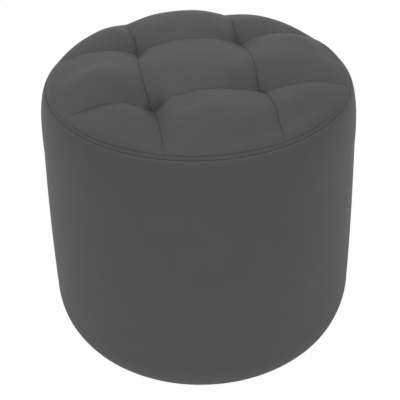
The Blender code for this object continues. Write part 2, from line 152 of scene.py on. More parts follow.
class Graph:
    """Adds nodes to a node tree."""

    def __init__(self, tree: bpy.types.NodeTree) -> None:
        """Hold the tree."""
        self.tree = tree

    def add(
        self, kind: str, settings: dict[str, Any] | None = None, feeds: dict[int | str, Any] | None = None
    ) -> bpy.types.Node:
        """Add one node.

        Args:
            kind: The node's type.
            settings: Its properties, set before its sockets are looked up.
            feeds: What goes into its input sockets: a value, a socket or a Term.

        Returns:
            The node.
        """
        node = self.tree.nodes.new(kind)
        for name, value in (settings or {}).items():
            setattr(node, name, value)
        for key, value in (feeds or {}).items():
            self.feed(node.inputs[key], value)
        return node

    def feed(self, socket: Socket, value: Any) -> None:
        """Link a socket or Term into an input socket, or set its value.

        Args:
            socket: The input socket.
            value: A Term, an output socket, or a plain value.
        """
        if isinstance(value, Term):
            value = value.socket
        if isinstance(value, Socket):
            self.tree.links.new(value, socket)
        else:
            socket.default_value = value

    def math(self, operation: str, *values: "Term | float") -> Term:
        """One Math node.

        Args:
            operation: Blender's name for it.
            values: Its operands.

        Returns:
            Its result.
        """
        return Term(self, self.add("ShaderNodeMath", {"operation": operation}, dict(enumerate(values))).outputs[0])

    def split(self, vector: Any) -> tuple[Term, ...]:
        """The three numbers of a vector socket."""
        return tuple(Term(self, part) for part in self.add("ShaderNodeSeparateXYZ", feeds={0: vector}).outputs)

    def join(self, x: Any, y: Any, z: Any) -> Socket:
        """A vector socket of three numbers."""
        return self.add("ShaderNodeCombineXYZ", feeds={0: x, 1: y, 2: z}).outputs[0]


class Paint(Graph):
    """The tree of one material, on the piece's own coordinates."""

    def __init__(self, name: str) -> None:
        """Start an empty material.

        Args:
            name: The material's name.
        """
        self.material = bpy.data.materials.new(name)
        self.material.use_nodes = True
        super().__init__(self.material.node_tree)
        self.tree.nodes.clear()
        self.place = self.add("ShaderNodeTexCoord").outputs["Object"]

    def scaled(self, scale: Point, turn: Point = (0.0, 0.0, 0.0)) -> Socket:
        """The piece's coordinates, scaled by axis and turned.

        Args:
            scale: Factor along each axis.
            turn: Angles in radians.

        Returns:
            A vector socket.
        """
        return self.add("ShaderNodeMapping", feeds={"Vector": self.place, "Scale": scale, "Rotation": turn}).outputs[0]

    def noise(self, size: float, detail: float = 2.0, rough: float = 0.5, warp: float = 0.0, at: Any = None) -> Term:
        """Soft noise.

        Args:
            size: Size of its blotches in metres.
            detail: Octaves.
            rough: Weight of the finer octaves.
            warp: Distortion.
            at: Coordinates, if not the piece's own.

        Returns:
            A number about 0.5.
        """
        feeds = {"Vector": at or self.place, "Scale": 1 / size, "Detail": detail, "Roughness": rough}
        node = self.add("ShaderNodeTexNoise", {"noise_dimensions": "3D"}, {**feeds, "Distortion": warp})
        return Term(self, node.outputs[0])

    def cells(self, size: float, smooth: float = 0.0) -> Term:
        """Distance from the points of a cell pattern.

        Args:
            size: Size of a cell in metres.
            smooth: How far neighbouring cells flow together, or 0 for not at all.

        Returns:
            A number from 0.
        """
        feeds = {"Vector": self.place, "Scale": 1 / size} | ({"Smoothness": smooth} if smooth else {})
        node = self.add("ShaderNodeTexVoronoi", {"feature": "SMOOTH_F1" if smooth else "F1"}, feeds)
        return Term(self, node.outputs["Distance"])

    def attribute(self, name: str) -> Term:
        """A number stored on the mesh."""
        return Term(self, self.add("ShaderNodeAttribute", {"attribute_name": name}).outputs["Fac"])

    def ramp(self, value: Term, start: float, end: float, low: float = 0.0, high: float = 1.0) -> Term:
        """A number that goes smoothly from low to high between two others.

        Args:
            value: What is looked up.
            start: Where the result leaves low.
            end: Where the result reaches high.
            low: Result before start.
            high: Result past end.

        Returns:
            The result.
        """
        feeds = {"Value": value, "From Min": start, "From Max": end, "To Min": low, "To Max": high}
        node = self.add("ShaderNodeMapRange", {"interpolation_type": "SMOOTHSTEP"}, feeds)
        return Term(self, node.outputs[0])

    def blend(self, share: Term, low: Any, high: Any) -> Socket:
        """A colour between two others.

        Args:
            share: 0 for low, 1 for high.
            low: A colour or colour socket.
            high: A colour or colour socket.

        Returns:
            A colour socket.
        """
        ends = [(*end, 1.0) if isinstance(end, tuple) else end for end in (low, high)]
        node = self.add("ShaderNodeMix", {"data_type": "RGBA"}, {0: share, 6: ends[0], 7: ends[1]})
        return node.outputs[2]

    def bump(self, height: Term, depth: float, under: Any = None) -> Socket:
        """A normal from a height pattern.

        Args:
            height: The pattern, about 0 to 1.
            depth: What 1 stands for, in metres.
            under: A normal that this one is laid over.

        Returns:
            A normal socket.
        """
        feeds = {"Height": height, "Distance": depth, "Strength": 1.0}
        if under is not None:
            feeds["Normal"] = under
        return self.add("ShaderNodeBump", feeds=feeds).outputs[0]

    def surface(self, **feeds: Any) -> bpy.types.Material:
        """Close the tree with a Principled shader.

        Args:
            feeds: Its sockets, with underscores for spaces.

        Returns:
            The material.
        """
        named = {name.replace("_", " "): value for name, value in feeds.items()}
        shader = self.add("ShaderNodeBsdfPrincipled", feeds=named)
        self.add("ShaderNodeOutputMaterial", feeds={"Surface": shader.outputs[0]})
        return self.material


class Finish(ABC):
    """A finish that pieces wear, and the record's slot that it belongs to."""

    name: str
    slot: Slot

    @abstractmethod
    def make(self) -> bpy.types.Material:
        """Build the material.

        Returns:
            The material.
        """


@functools.cache
def material_of(finish: Finish) -> bpy.types.Material:
    """A finish's material, built once."""
    return finish.make()


@dataclass(frozen=True)
class Leatherette(Finish):
    """Dark grey coated fabric with a fine pebbled grain, duller in its seams and painted darker there: a painted seam
    shade, with a little dust.
    """

    name: str = "leatherette"
    slot: Slot = Slot.LEATHERETTE
    colour: Colour = (0.067, 0.067, 0.068)
    tint: Colour = (0.071, 0.071, 0.072)
    # Colour painted into the seams: painted shade, with a little dust.
    seam_shade_and_dust: Colour = (0.060, 0.060, 0.061)
    roughness: float = 0.50
    pebble: float = 0.0012
    pore: float = 0.00054
    wrinkle: float = 0.006
    patch: float = 0.028
    grain_depth: float = 0.00005
    wrinkle_depth: float = 0.00011

    def make(self) -> bpy.types.Material:
        """Build the material.

        Returns:
            The material.
        """
        paint = Paint(self.name)
        pebbles, pores = paint.cells(self.pebble, smooth=0.3), paint.cells(self.pore)
        wrinkles = paint.noise(self.wrinkle, detail=4.0, rough=0.62, warp=0.6)
        patches = paint.noise(self.patch, detail=3.0, rough=0.6)
        seam_shade_and_dust = paint.attribute("seam_shade_and_dust")
        face = paint.blend(paint.ramp(patches, 0.36, 0.64), self.colour, self.tint)
        # The seams are painted darker (painted shade, with a little dust) and are also a little rougher.
        colour = paint.blend(seam_shade_and_dust, face, self.seam_shade_and_dust)
        roughness = self.roughness + (patches - 0.5) * 0.05 + (pebbles - 0.4) * 0.06 + seam_shade_and_dust * 0.10
        grain = paint.bump((1.0 - pebbles) * 0.7 + pores * 0.3, self.grain_depth)
        normal = paint.bump(wrinkles, self.wrinkle_depth, grain)
        return paint.surface(Base_Color=colour, Roughness=roughness, Normal=normal, Specular_IOR_Level=0.5)


@dataclass(frozen=True)
class Thread(Finish):
    """Grey polyester sewing thread."""

    name: str = "sewing_thread"
    slot: Slot = Slot.LEATHERETTE
    light: Colour = (0.055, 0.055, 0.056)
    dark: Colour = (0.040, 0.040, 0.041)
    fibre: float = 0.0002
    depth: float = 0.00003

    def make(self) -> bpy.types.Material:
        """Build the material.

        Returns:
            The material.
        """
        paint = Paint(self.name)
        fibres = paint.noise(self.fibre)
        colour = paint.blend(fibres, self.dark, self.light)
        return paint.surface(Base_Color=colour, Roughness=0.75, Normal=paint.bump(fibres, self.depth))


@dataclass(frozen=True)
class OpenCellFoam(Finish):
    """Cream polyurethane foam with open cells."""

    name: str = "open_cell_foam"
    slot: Slot = Slot.FOAM
    light: Colour = (0.80, 0.74, 0.56)
    dark: Colour = (0.62, 0.55, 0.37)
    cell: float = 0.0012
    patch: float = 0.03
    depth: float = 0.0004

    def make(self) -> bpy.types.Material:
        """Build the material.

        Returns:
            The material.
        """
        paint = Paint(self.name)
        cells = paint.cells(self.cell)
        shade = paint.ramp(cells, 0.05, 0.6) * 0.75 + paint.noise(self.patch, detail=3.0) * 0.25
        colour = paint.blend(shade, self.dark, self.light)
        return paint.surface(Base_Color=colour, Roughness=0.95, Normal=paint.bump(cells, self.depth))


@dataclass(frozen=True)
class Plywood(Finish):
    """Birch plywood: straight grain on the faces, plies on the edge."""

    name: str = "plywood_board"
    slot: Slot = Slot.PLYWOOD
    light: Colour = (0.60, 0.45, 0.29)
    dark: Colour = (0.42, 0.28, 0.15)
    light_ply: Colour = (0.58, 0.43, 0.27)
    dark_ply: Colour = (0.36, 0.23, 0.12)
    ply: float = 0.0028
    grain: float = 0.02
    fibre: float = 0.0012
    depth: float = 0.0002

    def make(self) -> bpy.types.Material:
        """Build the material.

        Returns:
            The material.
        """
        paint = Paint(self.name)
        grain = paint.noise(self.grain, detail=5.0, rough=0.6, warp=0.7, at=paint.scaled((7.0, 0.5, 7.0)))
        fibres = paint.noise(self.fibre, detail=3.0, at=paint.scaled((1.0, 0.08, 1.0)))
        layer = ((paint.split(paint.place)[2] / self.ply).repeat() - 0.5).sign() * 0.5 + 0.5
        upright = paint.split(paint.add("ShaderNodeNewGeometry").outputs["Normal"])[2]
        edge = paint.ramp(abs(upright), 0.3, 0.5, 1.0, 0.0)
        face = paint.blend(paint.ramp(grain, 0.3, 0.7) * 0.6 + fibres * 0.4, self.dark, self.light)
        colour = paint.blend(edge, face, paint.blend(layer, self.dark_ply, self.light_ply))
        normal = paint.bump(fibres * 0.6 + layer * edge * 0.4, self.depth)
        return paint.surface(Base_Color=colour, Roughness=0.6 + fibres * 0.2, Normal=normal)


@dataclass(frozen=True)
class Pine(Finish):
    """Planed pine with grain running up the post."""

    name: str = "planed_pine"
    slot: Slot = Slot.PINE
    light: Colour = (0.72, 0.53, 0.31)
    dark: Colour = (0.50, 0.30, 0.13)
    ring: float = 0.0045
    bend: float = 0.02
    fibre: float = 0.0008
    depth: float = 0.0002

    def make(self) -> bpy.types.Material:
        """Build the material.

        Returns:
            The material.
        """
        paint = Paint(self.name)
        place = paint.scaled((1.0, 1.0, 0.06))
        bends = paint.noise(self.bend, detail=3.0, at=place)
        x, y, _ = paint.split(place)
        rings = ((x + y * 0.6) / self.ring + bends * 4.0) * math.tau
        bands = (rings.sin() * 0.5 + 0.5) ** 2.0
        fibres = paint.noise(self.fibre, detail=3.0, at=place)
        colour = paint.blend(bands * 0.55 + fibres * 0.35, self.light, self.dark)
        normal = paint.bump(fibres, self.depth)
        return paint.surface(Base_Color=colour, Roughness=0.55 + fibres * 0.2, Normal=normal)


@dataclass(frozen=True)
class Hardboard(Finish):
    """Pressed brown fibreboard."""

    name: str = "pressed_hardboard"
    slot: Slot = Slot.HARDBOARD
    light: Colour = (0.30, 0.18, 0.10)
    dark: Colour = (0.17, 0.095, 0.05)
    speck: float = 0.0015
    patch: float = 0.04
    depth: float = 0.00015

    def make(self) -> bpy.types.Material:
        """Build the material.

        Returns:
            The material.
        """
        paint = Paint(self.name)
        specks = paint.noise(self.speck, detail=5.0, rough=0.7, warp=1.2)
        shade = paint.ramp(specks, 0.35, 0.65) * 0.7 + paint.noise(self.patch) * 0.3
        colour, normal = paint.blend(shade, self.dark, self.light), paint.bump(specks, self.depth)
        return paint.surface(Base_Color=colour, Roughness=0.6 + specks * 0.25, Normal=normal)


@dataclass(frozen=True)
class ZincSteel(Finish):
    """Bright zinc-plated steel with fine turning marks."""

    name: str = "zinc_plated_steel"
    slot: Slot = Slot.STEEL
    light: Colour = (0.68, 0.67, 0.64)
    dark: Colour = (0.50, 0.50, 0.46)
    mark: float = 0.0006
    bloom: float = 0.006
    depth: float = 0.00002

    def make(self) -> bpy.types.Material:
        """Build the material.

        Returns:
            The material.
        """
        paint = Paint(self.name)
        marks = paint.noise(self.mark, at=paint.scaled((1.0, 1.0, 6.0)))
        bloom = paint.noise(self.bloom, detail=3.0)
        colour = paint.blend(paint.ramp(bloom, 0.35, 0.65), self.dark, self.light)
        roughness, normal = 0.25 + marks * 0.15 + bloom * 0.1, paint.bump(marks, self.depth)
        return paint.surface(Base_Color=colour, Metallic=1.0, Roughness=roughness, Normal=normal)


@dataclass(frozen=True)
class Twine(Finish):
    """Waxed natural twine."""

    name: str = "waxed_twine"
    slot: Slot = Slot.TWINE
    light: Colour = (0.78, 0.74, 0.66)
    dark: Colour = (0.55, 0.50, 0.42)
    fibre: float = 0.0004
    depth: float = 0.0001

    def make(self) -> bpy.types.Material:
        """Build the material.

        Returns:
            The material.
        """
        paint = Paint(self.name)
        fibres = paint.noise(self.fibre, detail=3.0, at=paint.scaled((1.0, 1.0, 0.3)))
        colour = paint.blend(fibres, self.dark, self.light)
        return paint.surface(Base_Color=colour, Roughness=0.7, Normal=paint.bump(fibres, self.depth))


@dataclass(frozen=True)
class MouldedPlastic(Finish):
    """Moulded plastic with a fine spark-eroded texture and lighter scuffs."""

    name: str
    slot: Slot
    dark: Colour
    light: Colour
    roughness: float = 0.45
    texture: float = 0.0005
    scuff: float = 0.008
    depth: float = 0.00004

    def make(self) -> bpy.types.Material:
        """Build the material.

        Returns:
            The material.
        """
        paint = Paint(self.name)
        texture = paint.noise(self.texture, detail=3.0)
        scuffs = paint.noise(self.scuff, detail=4.0, warp=0.8)
        colour = paint.blend(paint.ramp(scuffs, 0.55, 0.75), self.dark, self.light)
        roughness = self.roughness + scuffs * 0.15
        return paint.surface(Base_Color=colour, Roughness=roughness, Normal=paint.bump(texture, self.depth))


@dataclass(frozen=True)
class DustCloth(Finish):
    """Black non-woven cloth with its pattern of bonded points."""

    name: str = "non_woven_cloth"
    slot: Slot = Slot.DUST_CLOTH
    light: Colour = (0.026, 0.026, 0.027)
    dark: Colour = (0.010, 0.010, 0.011)
    pitch: float = 0.0018
    fibre: float = 0.0008
    depth: float = 0.00015

    def make(self) -> bpy.types.Material:
        """Build the material.

        Returns:
            The material.
        """
        paint = Paint(self.name)
        x, y, _ = paint.split(paint.scaled((1.0, 1.0, 1.0), (0.0, 0.0, math.pi / 4)))
        points = (x * (math.tau / self.pitch)).cos() * (y * (math.tau / self.pitch)).cos()
        bonds = paint.ramp(points, 0.3, 0.8)
        fibres = paint.noise(self.fibre, detail=4.0, rough=0.7, warp=1.5)
        colour = paint.blend(fibres * 0.7 + (1.0 - bonds) * 0.3, self.dark, self.light)
        normal = paint.bump(fibres * 0.5 - bonds * 0.5, self.depth)
        return paint.surface(Base_Color=colour, Roughness=0.9, Normal=normal)


LEATHERETTE = Leatherette()
THREAD = Thread()
FOAM = OpenCellFoam()
PLYWOOD = Plywood()
PINE = Pine()
HARDBOARD = Hardboard()
STEEL = ZincSteel()
TWINE = Twine()
FOOT_PLASTIC = MouldedPlastic("foot_polypropylene", Slot.FOOT, (0.020, 0.020, 0.020), (0.030, 0.030, 0.030))
WASHER_PLASTIC = MouldedPlastic("washer_nylon", Slot.WASHER, (0.66, 0.66, 0.64), (0.99, 0.99, 0.96), 0.40)
DUST_CLOTH = DustCloth()


def in_scene(name: str, mesh: bpy.types.Mesh) -> bpy.types.Object:
    """Put a mesh into the scene.

    Args:
        name: The object's name.
        mesh: Its mesh.

    Returns:
        The object.
    """
    made = bpy.data.objects.new(name, mesh)
    bpy.context.scene.collection.objects.link(made)
    return made


def close_up(mesh: bpy.types.Mesh, crease: float, weld: float = 0.0) -> None:
    """Turn a mesh's faces outwards and mark its sharp edges.

    Args:
        mesh: The mesh.
        crease: Angle in degrees above which an edge stays sharp.
        weld: Distance within which points are merged first, or 0 for none.
    """
    bm = bmesh.new()
    bm.from_mesh(mesh)
    if weld:
        bmesh.ops.remove_doubles(bm, verts=bm.verts, dist=weld)
    bmesh.ops.recalc_face_normals(bm, faces=bm.faces)
    bm.to_mesh(mesh)
    bm.free()
    mesh.set_sharp_from_angle(angle=math.radians(crease))


def mesh_of(name: str, points: Array, faces: Sequence[Sequence[int]]) -> bpy.types.Mesh:
    """A mesh of points and faces.

    Args:
        name: The mesh's name.
        points: Its points, one row each.
        faces: Its faces, as indices of points; without any, the points are joined in a line.

    Returns:
        The mesh.
    """
    mesh = bpy.data.meshes.new(name)
    mesh.from_pydata(points.tolist(), [] if faces else [(i, i + 1) for i in range(len(points) - 1)], faces)
    return mesh


def mesh_piece(
    name: str, mesh: bpy.types.Mesh, finish: Finish, crease: float, weld: float = 0.0, seam_shade_and_dust: Array | None = None
) -> bpy.types.Object:
    """Make a smooth piece of a mesh.

    Args:
        name: The piece's name.
        mesh: Its mesh.
        finish: What it wears.
        crease: Angle in degrees above which an edge stays sharp.
        weld: Distance within which points are merged, or 0 for none.
        seam_shade_and_dust: For each point, 1 in a seam and 0 away from it; the weight of the shade painted into the
            seams, with a little dust.

    Returns:
        The object.
    """
    # Stores the weight of the shade painted into the seams, with a little dust, for the leatherette.
    if seam_shade_and_dust is not None:
        mesh.attributes.new("seam_shade_and_dust", "FLOAT", "POINT").data.foreach_set("value", seam_shade_and_dust.astype(np.float32))
    mesh.shade_smooth()
    close_up(mesh, crease, weld)
    mesh.materials.append(material_of(finish))
    return in_scene(name, mesh)


def settle(piece: bpy.types.Object, finish: Finish, *nodes: str) -> None:
    """Let a piece ride on the pouf's one body, in the place of the CAD nodes that it stands for.

    Args:
        piece: The finished piece.
        finish: What it wears; not used.
        nodes: The CAD nodes that it replaces.
    """
    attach(piece, "root")
    if nodes:
        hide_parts(*nodes)
    log.info("%-28s %7d triangles", piece.name, sum(len(face.vertices) - 2 for face in piece.data.polygons))


def unit(vectors: Array) -> Array:
    """Vectors of length 1."""
    return vectors / np.maximum(np.linalg.norm(vectors, axis=-1, keepdims=True), 1e-12)


def grid_normals(grid: Array, out: Array) -> Array:
    """Normals of a grid of points.

    Args:
        grid: The points, by row and column.
        out: A direction that points outwards at the grid's middle.

    Returns:
        The outward normals.
    """
    normals = unit(np.cross(np.gradient(grid, axis=0), np.gradient(grid, axis=1)))
    return normals * np.sign(normals[grid.shape[0] // 2, grid.shape[1] // 2] @ out)


def grid_faces(rows: int, cols: int, start: int = 0) -> list[tuple[int, int, int, int]]:
    """Faces of a grid of points.

    Args:
        rows: Points one way.
        cols: Points the other way.
        start: Index of its first point.

    Returns:
        Four indices for each face.
    """
    corner = (np.arange(rows - 1)[:, None] * cols + np.arange(cols - 1)[None, :]).ravel() + start
    return list(zip(corner.tolist(), (corner + cols).tolist(), (corner + cols + 1).tolist(), (corner + 1).tolist()))


def border(rows: int, cols: int) -> Array:
    """Indices of the points round the edge of a grid, in order."""
    index = np.arange(rows * cols).reshape(rows, cols)
    return np.concatenate([index[0], index[1:, -1], index[-1, -2::-1], index[-2:0:-1, 0]])


def shell(grid: Array, normals: Array, thickness: float, hem: Array) -> tuple[Array, list[tuple[int, ...]], Array]:
    """A closed sheet with a grid as its outer face and its border turned under.

    Args:
        grid: Points of the outer face, by row and column.
        normals: Outward directions at those points.
        thickness: How thick the sheet is.
        hem: For each point round the border, the step from it to the end of the turned edge.

    Returns:
        Points, faces, and for each point the index of its place in the grid.
    """
    rows, cols = grid.shape[:2]
    outer = grid.reshape(-1, 3)
    inner = outer - normals.reshape(-1, 3) * thickness
    edge = border(rows, cols)
    turned, lining = outer[edge] + hem, inner[edge] + hem
    count, around = len(outer), len(edge)
    points = np.concatenate([outer, inner, turned, lining])
    faces: list[tuple[int, ...]] = list(grid_faces(rows, cols))
    faces += [face[::-1] for face in grid_faces(rows, cols, count)]
    step = np.roll(np.arange(around), -1)
    loops = [edge, 2 * count + np.arange(around), 2 * count + around + np.arange(around), count + edge]
    for near, far in zip(loops, loops[1:]):
        faces += list(zip(near.tolist(), near[step].tolist(), far[step].tolist(), far.tolist()))
    source = np.concatenate([np.arange(count), np.arange(count), edge, edge])
    return points, faces, source


def lathe(outline: Sequence[Spot], steps: int) -> tuple[Array, list[tuple[int, int, int, int]]]:
    """A closed (radius, height) outline turned about the Z axis.

    Args:
        outline: Its points.
        steps: Points round the axis.

    Returns:
        Points and faces; points on the axis still have to be merged.
    """
    profile, angles = np.array(outline), np.arange(steps) * math.tau / steps
    flat = profile[:, None, :1] * np.stack([np.cos(angles), np.sin(angles)], -1)[None]
    points = np.concatenate([flat, np.broadcast_to(profile[:, None, 1:], (len(profile), steps, 1))], -1)
    low = np.arange(len(profile) * steps).reshape(len(profile), steps)
    high = np.roll(low, -1, axis=0)
    quads = np.stack([low, np.roll(low, -1, axis=1), np.roll(high, -1, axis=1), high], -1).reshape(-1, 4)
    return points.reshape(-1, 3), [tuple(quad) for quad in quads.tolist()]


def rounded(outline: Sequence[Spot], radius: float, steps: int = 4) -> list[Spot]:
    """A closed outline with its corners rounded.

    Args:
        outline: Its (radius, height) points.
        radius: How far back from a corner the rounding starts.
        steps: Points of each rounding.

    Returns:
        The rounded outline.
    """
    points = [Vector(point) for point in outline]
    made: list[Spot] = []
    for index, corner in enumerate(points):
        before, after = points[index - 1] - corner, points[(index + 1) % len(points)] - corner
        start = corner + before.normalized() * min(radius, before.length / 2.2)
        end = corner + after.normalized() * min(radius, after.length / 2.2)
        for share in (step / steps for step in range(steps + 1)):
            made.append(tuple(start * (1 - share) ** 2 + corner * 2 * share * (1 - share) + end * share**2))
    return made


def bored(piece: bpy.types.Object, radius: float, holes: Sequence[tuple[Vector, Vector]]) -> None:
    """Bore round holes through a piece.

    Args:
        piece: The piece.
        radius: The holes' radius.
        holes: Start and end of each.
    """
    for start, end in holes:
        along = end - start
        turn = Matrix.Translation((start + end) / 2) @ along.to_track_quat("Z", "Y").to_matrix().to_4x4()
        bm = bmesh.new()
        bmesh.ops.create_cone(
            bm, cap_ends=True, segments=16, radius1=radius, radius2=radius, depth=along.length, matrix=turn)
        mesh = bpy.data.meshes.new("bore")
        bm.to_mesh(mesh)
        bm.free()
        cutter = in_scene("bore", mesh)
        boring = piece.modifiers.new("bore", "BOOLEAN")
        boring.operation, boring.solver, boring.object = "DIFFERENCE", "EXACT", cutter
        freeze(piece)
        bpy.data.objects.remove(cutter, do_unlink=True)
        bpy.data.meshes.remove(mesh)


def freeze(piece: bpy.types.Object) -> None:
    """Put a piece's modifiers into its mesh.

    Args:
        piece: The piece.
    """
    mesh = bpy.data.meshes.new_from_object(piece.evaluated_get(bpy.context.evaluated_depsgraph_get()))
    piece.modifiers.clear()
    old, piece.data = piece.data, mesh
    mesh.name = piece.name
    bpy.data.meshes.remove(old)


class Growth(Graph):
    """A Geometry Nodes tree with named sizes, whose result becomes one plain mesh."""

    def __init__(self, name: str) -> None:
        """Start an empty tree.

        Args:
            name: The tree's name.
        """
        super().__init__(bpy.data.node_groups.new(name, "GeometryNodeTree"))
        self.tree.interface.new_socket("Geometry", in_out="OUTPUT", socket_type="NodeSocketGeometry")
        self.entry = self.add("NodeGroupInput")
        self.exit = self.add("NodeGroupOutput")
        self.identifiers: dict[str, str] = {}

    def sizes(self, *names: str, kind: Input = Input.NUMBER) -> tuple[Term, ...]:
        """Named inputs of the tree.

        Args:
            names: The inputs' names.
            kind: What they hold.

        Returns:
            Their values inside the tree.
        """
        for name in names:
            made = self.tree.interface.new_socket(name, in_out="INPUT", socket_type=kind.value)
            self.identifiers[name] = made.identifier
        return tuple(Term(self, self.entry.outputs[name]) for name in names)

    def block(self, x: Any, y: Any, z: Any) -> Socket:
        """A cuboid about the origin."""
        return self.add("GeometryNodeMeshCube", feeds={"Size": self.join(x, y, z)}).outputs["Mesh"]

    def spiral(self, steps: int, turns: Any, start: Any, end: Any, height: Any) -> Socket:
        """A line that winds upwards from the origin.

        Args:
            steps: Points to a turn.
            turns: Number of turns.
            start: Radius at the bottom.
            end: Radius at the top.
            height: How far it rises.

        Returns:
            The line's socket.
        """
        feeds = {"Resolution": steps, "Rotations": turns, "Start Radius": start, "End Radius": end, "Height": height}
        return self.add("GeometryNodeCurveSpiral", feeds=feeds).outputs[0]

    def tube(self, curve: Any, radius: Any, sides: int) -> Socket:
        """A round tube along a curve.

        Args:
            curve: The curve's socket.
            radius: The tube's radius.
            sides: Its number of sides.

        Returns:
            The tube's socket.
        """
        ring = self.add("GeometryNodeCurvePrimitiveCircle", feeds={"Resolution": sides, "Radius": radius})
        feeds = {"Curve": curve, "Profile Curve": ring.outputs["Curve"], "Fill Caps": True}
        return self.add("GeometryNodeCurveToMesh", feeds=feeds).outputs[0]

    def together(self, *parts: Any) -> Socket:
        """Several meshes as one.

        Args:
            parts: Their sockets.

        Returns:
            The joined mesh's socket.
        """
        node = self.add("GeometryNodeJoinGeometry")
        for part in parts:
            self.feed(node.inputs[0], part)
        return node.outputs[0]

    def shifted(self, part: Any, move: Any = (0.0, 0.0, 0.0), turn: Any = (0.0, 0.0, 0.0)) -> Socket:
        """A mesh turned about the origin and then moved.

        Args:
            part: The mesh's socket.
            move: How far, a vector.
            turn: Angles in radians, a vector.

        Returns:
            The moved mesh's socket.
        """
        feeds = {"Geometry": part, "Translation": move, "Rotation": turn}
        return self.add("GeometryNodeTransform", feeds=feeds).outputs[0]

    def raised(self, part: Any, height: Any) -> Socket:
        """A mesh moved upwards."""
        return self.shifted(part, self.join(0.0, 0.0, height))

    def copies(self, part: Any, places: Any, turn: Any) -> Socket:
        """One mesh on each of several points, turned."""
        feeds = {"Points": places, "Instance": part, "Rotation": turn}
        return self.add("GeometryNodeInstanceOnPoints", feeds=feeds).outputs[0]

    def end(self, part: Any, finish: Finish) -> None:
        """Close the tree: real meshes instead of instances, smooth, in their finish.

        Args:
            part: The last geometry socket.
            finish: What it wears.
        """
        real = self.add("GeometryNodeRealizeInstances", feeds={0: part})
        smooth = self.add("GeometryNodeSetShadeSmooth", feeds={"Geometry": real.outputs[0]})
        dressed = self.add("GeometryNodeSetMaterial", feeds={0: smooth.outputs[0], "Material": material_of(finish)})
        self.feed(self.exit.inputs[0], dressed.outputs[0])

    def grow(
        self, name: str, sizes: dict[str, Any], path: Array | None = None, crease: float = 50.0, weld: float = 0.0
    ) -> bpy.types.Object:
        """Evaluate the tree into a piece.

        Args:
            name: The piece's name.
            sizes: Values of the tree's inputs, by name.
            path: Points of the line that the tree works along, if it does.
            crease: Angle in degrees above which an edge stays sharp.
            weld: Distance within which points are merged, or 0 for none.

        Returns:
            The piece, a plain mesh.
        """
        start = bpy.data.meshes.new(name) if path is None else mesh_of(name, path, [])
        piece = bpy.data.objects.new(name, start)
        growth = piece.modifiers.new("growth", "NODES")
        growth.node_group = self.tree
        for label, value in sizes.items():
            growth[self.identifiers[label]] = value
        bpy.context.scene.collection.objects.link(piece)
        bpy.context.view_layer.update()
        freeze(piece)
        close_up(piece.data, crease, weld)
        return piece


@functools.cache
def stitch_growth() -> Growth:
    """Stitches across a seam, all along it.

    Returns:
        The tree, with inputs Path, Pitch, Span, Thread and Rise.
    """
    growth = Growth("seam_stitches")
    (path,) = growth.sizes("Path", kind=Input.GEOMETRY)
    pitch, span, thread, rise = growth.sizes("Pitch", "Span", "Thread", "Rise")
    curve = growth.add("GeometryNodeMeshToCurve", feeds={0: path})
    places = growth.add("GeometryNodeCurveToPoints", {"mode": "LENGTH"}, {"Curve": curve.outputs[0], "Length": pitch})
    bow = growth.add("GeometryNodeCurveQuadraticBezier", feeds={
        "Resolution": 4,
        "Start": growth.join(span * -0.5, thread * -0.8, 0.0),
        "Middle": growth.join(0.0, 0.0, rise),
        "End": growth.join(span * 0.5, thread * 0.8, 0.0),
    })
    stitch = growth.tube(bow.outputs[0], thread * 0.5, 5)
    facing = growth.add("FunctionNodeAlignRotationToVector", {"axis": "Y"}, {"Vector": places.outputs["Tangent"]})
    growth.end(growth.copies(stitch, places.outputs[0], facing.outputs[0]), THREAD)
    return growth


def sew(name: str, path: Array) -> None:
    """Make the stitches along a seam.

    Args:
        name: Their name.
        path: Points along the seam.
    """
    sizes = {"Pitch": 0.0032, "Span": 0.0022, "Thread": 0.00045, "Rise": 0.0003}
    settle(stitch_growth().grow(name, sizes, path), THREAD)


def piping_growth() -> Growth:
    """A flat rolled band in a ring, a rounded oblong in section.

    Returns:
        The tree, with inputs Ring radius, Ring height, Width, Thickness, Lean and Around.
    """
    growth = Growth("rim_band")
    radius, height, width, thickness, lean = growth.sizes("Ring radius", "Ring height", "Width", "Thickness", "Lean")
    (around,) = growth.sizes("Around", kind=Input.COUNT)
    feeds = {"Size X": 1.0, "Size Y": 1.0, "Vertices X": around, "Vertices Y": 41}
    sheet = growth.add("GeometryNodeMeshGrid", feeds=feeds)
    share, section, _ = growth.split(growth.add("GeometryNodeInputPosition").outputs[0])
    turn, roll = (share + 0.5) * math.tau, (section + 0.5) * math.tau
    side, lift = roll.cos(), roll.sin()
    waver = (turn * 9.0 + 0.7).sin() * 0.03 + (turn * 23.0 + 2.1).sin() * 0.02 + 1.0
    across = side.sign() * abs(side) ** 0.18 * width * 0.5
    up = lift.sign() * abs(lift) ** 0.26 * thickness * 0.5 * waver
    from_axis = radius + across * lean.cos() + up * lean.sin()
    above = height - across * lean.sin() + up * lean.cos()
    place = growth.join(from_axis * turn.cos(), from_axis * turn.sin(), above)
    bent = growth.add("GeometryNodeSetPosition", feeds={"Geometry": sheet.outputs[0], "Position": place})
    closed = growth.add("GeometryNodeMergeByDistance", feeds={"Geometry": bent.outputs[0], "Distance": 0.00001})
    growth.end(closed.outputs[0], LEATHERETTE)
    return growth


